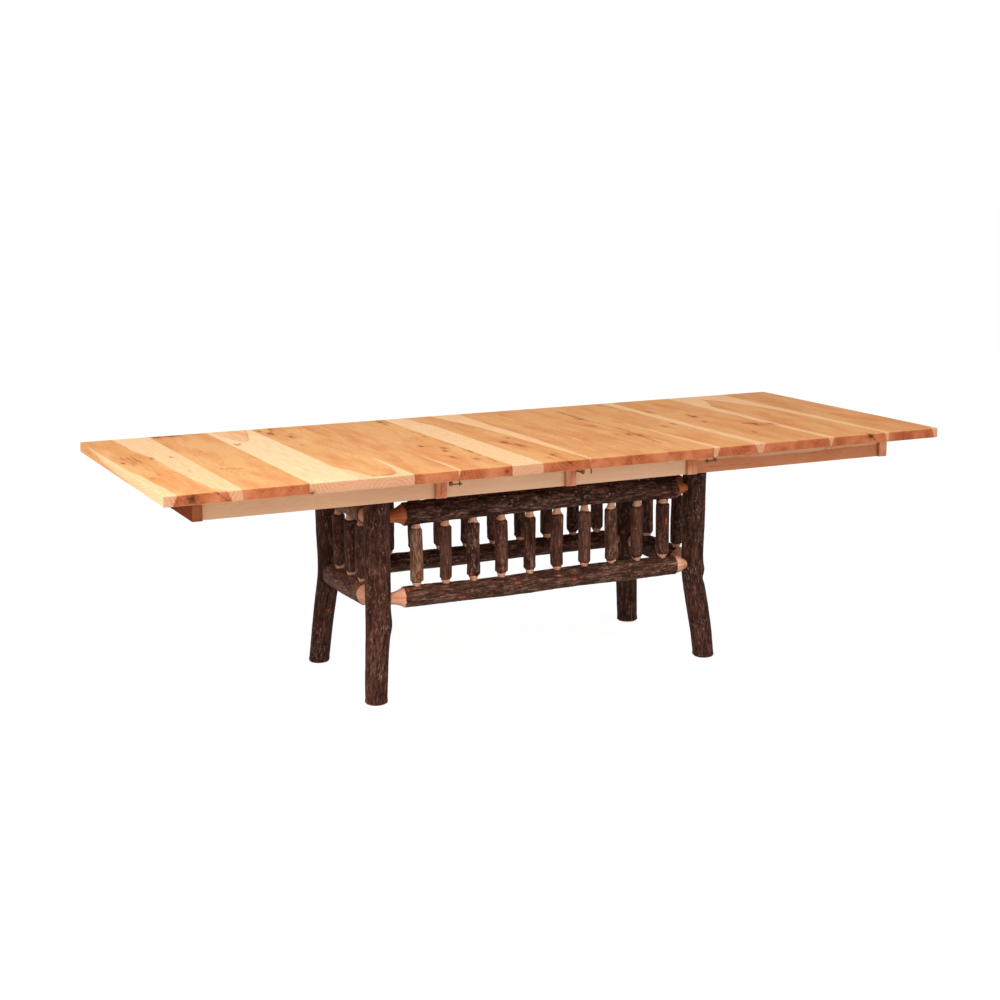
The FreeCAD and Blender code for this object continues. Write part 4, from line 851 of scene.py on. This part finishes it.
for seed, (name, (tone, heart_share)) in enumerate(APRON_LOOKS.items(), 60):
    box = list(zip(*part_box(name)))
    order = (2, 1, 0) if "end_rail" in name else (2, 0, 1)
    lines = APRON_LINES.get(name, ())
    start, stop = box[order[1]]
    steps = FINE_STEPS if lines else LONG_STEPS if stop - start > 0.5 else SHORT_STEPS
    look = (seed, tone, HEART_FROM_EDGE, ((0, heart_share), (1, heart_share)), (), lines)
    boards = [board(box, order, BOARD_EASE, (LOWER_EASE, 0), steps, look)]
    piece = make_boards(name + "_board", boards, apron_finish)
    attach(piece, body_of_node(name))
    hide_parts(name)

for seed, name in enumerate(BLOCK_NODES, 80):
    (low_x, _, low_z), (high_x, _, high_z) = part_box(name)
    starts = (low_x,) if high_x - low_x < 1.1 * BLOCK_THICK else (low_x, high_x - BLOCK_THICK)
    boards = []
    for count, (start, side) in enumerate((start, side) for start in starts for side in (-1, 1)):
        reach_y = sorted((side * BLOCK_INNER, side * BLOCK_OUTER))
        box = ((start, start + BLOCK_THICK), reach_y, (low_z, high_z))
        look = (seed * 4 + count, 0.45, HEART_FROM_EDGE, ((0, 2), (1, 2)), (), ())
        boards.append(board(box, (2, 1, 0), BOARD_EASE, (LOWER_EASE, 0), (12, 20), look))
    piece = make_boards(name + "_ends", boards, apron_finish)
    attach(piece, body_of_node(name))
    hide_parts(name)


# Inner woodwork: hardwood cleats across the legs, the two fixed runners on them, the slides that hang
# from the halves, the board that carries the pinion, and the racks. All is planed and left plain.

def plain_wood(name, along, light, dark):
    """Planed hardwood with its grain along one axis."""
    material, node, span, noise, blend, ramp, coat, *_ = finish_named(name)
    stretch = tuple(0.05 if axis == along else 1 for axis in range(3))
    place = node("TexCoord", {}, "Object")
    fibre = noise(place, 240, 5, 0.6, stretch)
    cloud = noise(place, 9, 3)
    colour = blend(ramp(fibre, (0.34, 0), (0.7, 1)), light, dark)
    colour = blend(ramp(cloud, (0.4, 0), (0.7, 0.4)), colour, (214, 176, 138), "MULTIPLY")
    rough = span(fibre, 0, 1, 0.5, 0.68)
    coat(colour, rough, fibre, 0.3, 0.0005, 0.3)
    return material


def give_finish(material, *nodes):
    """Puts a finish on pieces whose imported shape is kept."""
    for name in nodes:
        mesh = frame["nodes"][name].data
        mesh.materials.clear()
        mesh.materials.append(material)


runner_finish = plain_wood("planed_hardwood_lengthwise", 0, (206, 164, 118), (164, 116, 76))
cross_finish = plain_wood("planed_hardwood_crosswise", 1, (200, 158, 112), (158, 112, 74))
give_finish(runner_finish, "fixed_runner_front", "fixed_runner_back", "left_slide_front", "left_slide_back",
            "right_slide_front", "right_slide_back", "left_rack", "right_rack")
give_finish(cross_finish, "leg_cleat_left", "leg_cleat_right", "gear_bearer")


# Ironwork: the cast pinion, its bolt, the lag screws in the cleats, and the steel hooks with their
# screws and posts under the edges of the top.

def metal_finish(name, light, dark, metallic, rough, spread):
    """Metal with a cloudy tone, fine pits and uneven gloss."""
    material, node, span, noise, blend, ramp, coat, *_ = finish_named(name)
    place = node("TexCoord", {}, "Object")
    cloud = noise(place, 130, 4)
    pits = noise(place, 1500, 3)
    colour = blend(ramp(cloud, (0.35, 0), (0.65, 1)), light, dark)
    gloss = span(pits, 0.3, 0.7, rough, rough + spread)
    coat(colour, gloss, pits, 0.25, 0.0003, metal=metallic)
    return material


give_finish(metal_finish("cast_iron", (88, 86, 84), (58, 56, 55), 0.7, 0.5, 0.2), "pinion")
give_finish(metal_finish("zinc_plated_steel", (186, 186, 184), (150, 150, 148), 1.0, 0.28, 0.2),
            "pinion_bolt", "leg_cleat_screws")
give_finish(metal_finish("dark_brassy_steel", (122, 84, 50), (70, 48, 34), 0.85, 0.36, 0.2),
            *[name for name in frame["nodes"] if "hook_" in name])


# The room: a white floor that keeps a soft shadow, a white surround, a large soft lamp high on the
# left, a weaker one on the right, and the camera.

FLOOR_REACH = 40
FLOOR_GLOW = 1.16
GLOW_SHARE = 0.8
SURROUND_STRENGTH = 0.5


def seen_rays(node):
    """1 for a ray that shows in the picture, straight, mirrored or let through, and 0 for one that
    only lights."""
    path = node("LightPath", {}).node.outputs
    seen = node("Math", {0: path["Is Camera Ray"], 1: path["Is Glossy Ray"]}, operation="ADD")
    return node("Math", {0: seen, 1: path["Is Transmission Ray"]}, operation="ADD", use_clamp=True)


floor_mesh = bpy.data.meshes.new("floor")
corners = [(FLOOR_REACH * x, FLOOR_REACH * y, 0) for x, y in ((-1, -1), (1, -1), (1, 1), (-1, 1))]
floor_mesh.from_pydata(corners, [], [(0, 1, 2, 3)])
floor = put_in_scene("floor", floor_mesh)
floor_finish, node, *_ = finish_named("white_floor")
glow_share = node("Math", {0: seen_rays(node), 1: GLOW_SHARE}, operation="MULTIPLY")
matt = node("BsdfDiffuse", {"Color": (0.82, 0.82, 0.82, 1)})
glow = node("Emission", {"Color": (1, 1, 1, 1), "Strength": FLOOR_GLOW})
node("OutputMaterial", {"Surface": node("MixShader", {0: glow_share, 1: matt, 2: glow})})
floor_mesh.materials.append(floor_finish)

world = bpy.data.worlds.new("white_surround")
bpy.context.scene.world = world
world.use_nodes = True
node, span, *_ = shader_tools(world.node_tree)
strength = span(seen_rays(node), 0, 1, SURROUND_STRENGTH, 1)
node("OutputWorld", {"Surface": node("Background", {"Color": (1, 1, 1, 1), "Strength": strength})})


def soft_lamp(name, spot, aim, size, watts):
    """A square lamp at a spot, turned to face the point it aims at."""
    lamp = bpy.data.lights.new(name, "AREA")
    lamp.shape = "SQUARE"
    lamp.size = size
    lamp.energy = watts
    holder = put_in_scene(name, lamp)
    holder.location = spot
    holder.rotation_euler = (Vector(aim) - Vector(spot)).to_track_quat("-Z", "Y").to_euler()


soft_lamp("key_lamp", (-3.2, -3.0, 3.4), (0, 0, 0.5), 2.6, 270)
soft_lamp("fill_lamp", (2.6, -4.2, 1.8), (0, 0, 0.4), 2.2, 80)

CAMERA_AT = (-2.611432, -5.292676, 1.733445)
CAMERA_YAW = 0.4374
CAMERA_PITCH = 0.1954
CAMERA_ROLL = -0.00608
CAMERA_SENSOR = 36
CAMERA_LENS = 62.883
CAMERA_SHIFT = 0.02

ahead = np.array((np.sin(CAMERA_YAW) * np.cos(CAMERA_PITCH), np.cos(CAMERA_YAW) * np.cos(CAMERA_PITCH),
                  -np.sin(CAMERA_PITCH)))
level_right = np.array((np.cos(CAMERA_YAW), -np.sin(CAMERA_YAW), 0))
level_up = np.cross(level_right, ahead)
right = np.cos(CAMERA_ROLL) * level_right + np.sin(CAMERA_ROLL) * level_up
up = np.cos(CAMERA_ROLL) * level_up - np.sin(CAMERA_ROLL) * level_right
camera_data = bpy.data.cameras.new("camera")
camera_data.sensor_width = CAMERA_SENSOR
camera_data.lens = CAMERA_LENS
camera_data.shift_x = CAMERA_SHIFT
camera = put_in_scene("camera", camera_data)
pose = [(right[k], up[k], -ahead[k], CAMERA_AT[k]) for k in range(3)]
camera.matrix_world = Matrix(pose + [(0, 0, 0, 1)])
bpy.context.scene.camera = camera
bpy.context.scene.view_settings.view_transform = "Standard"
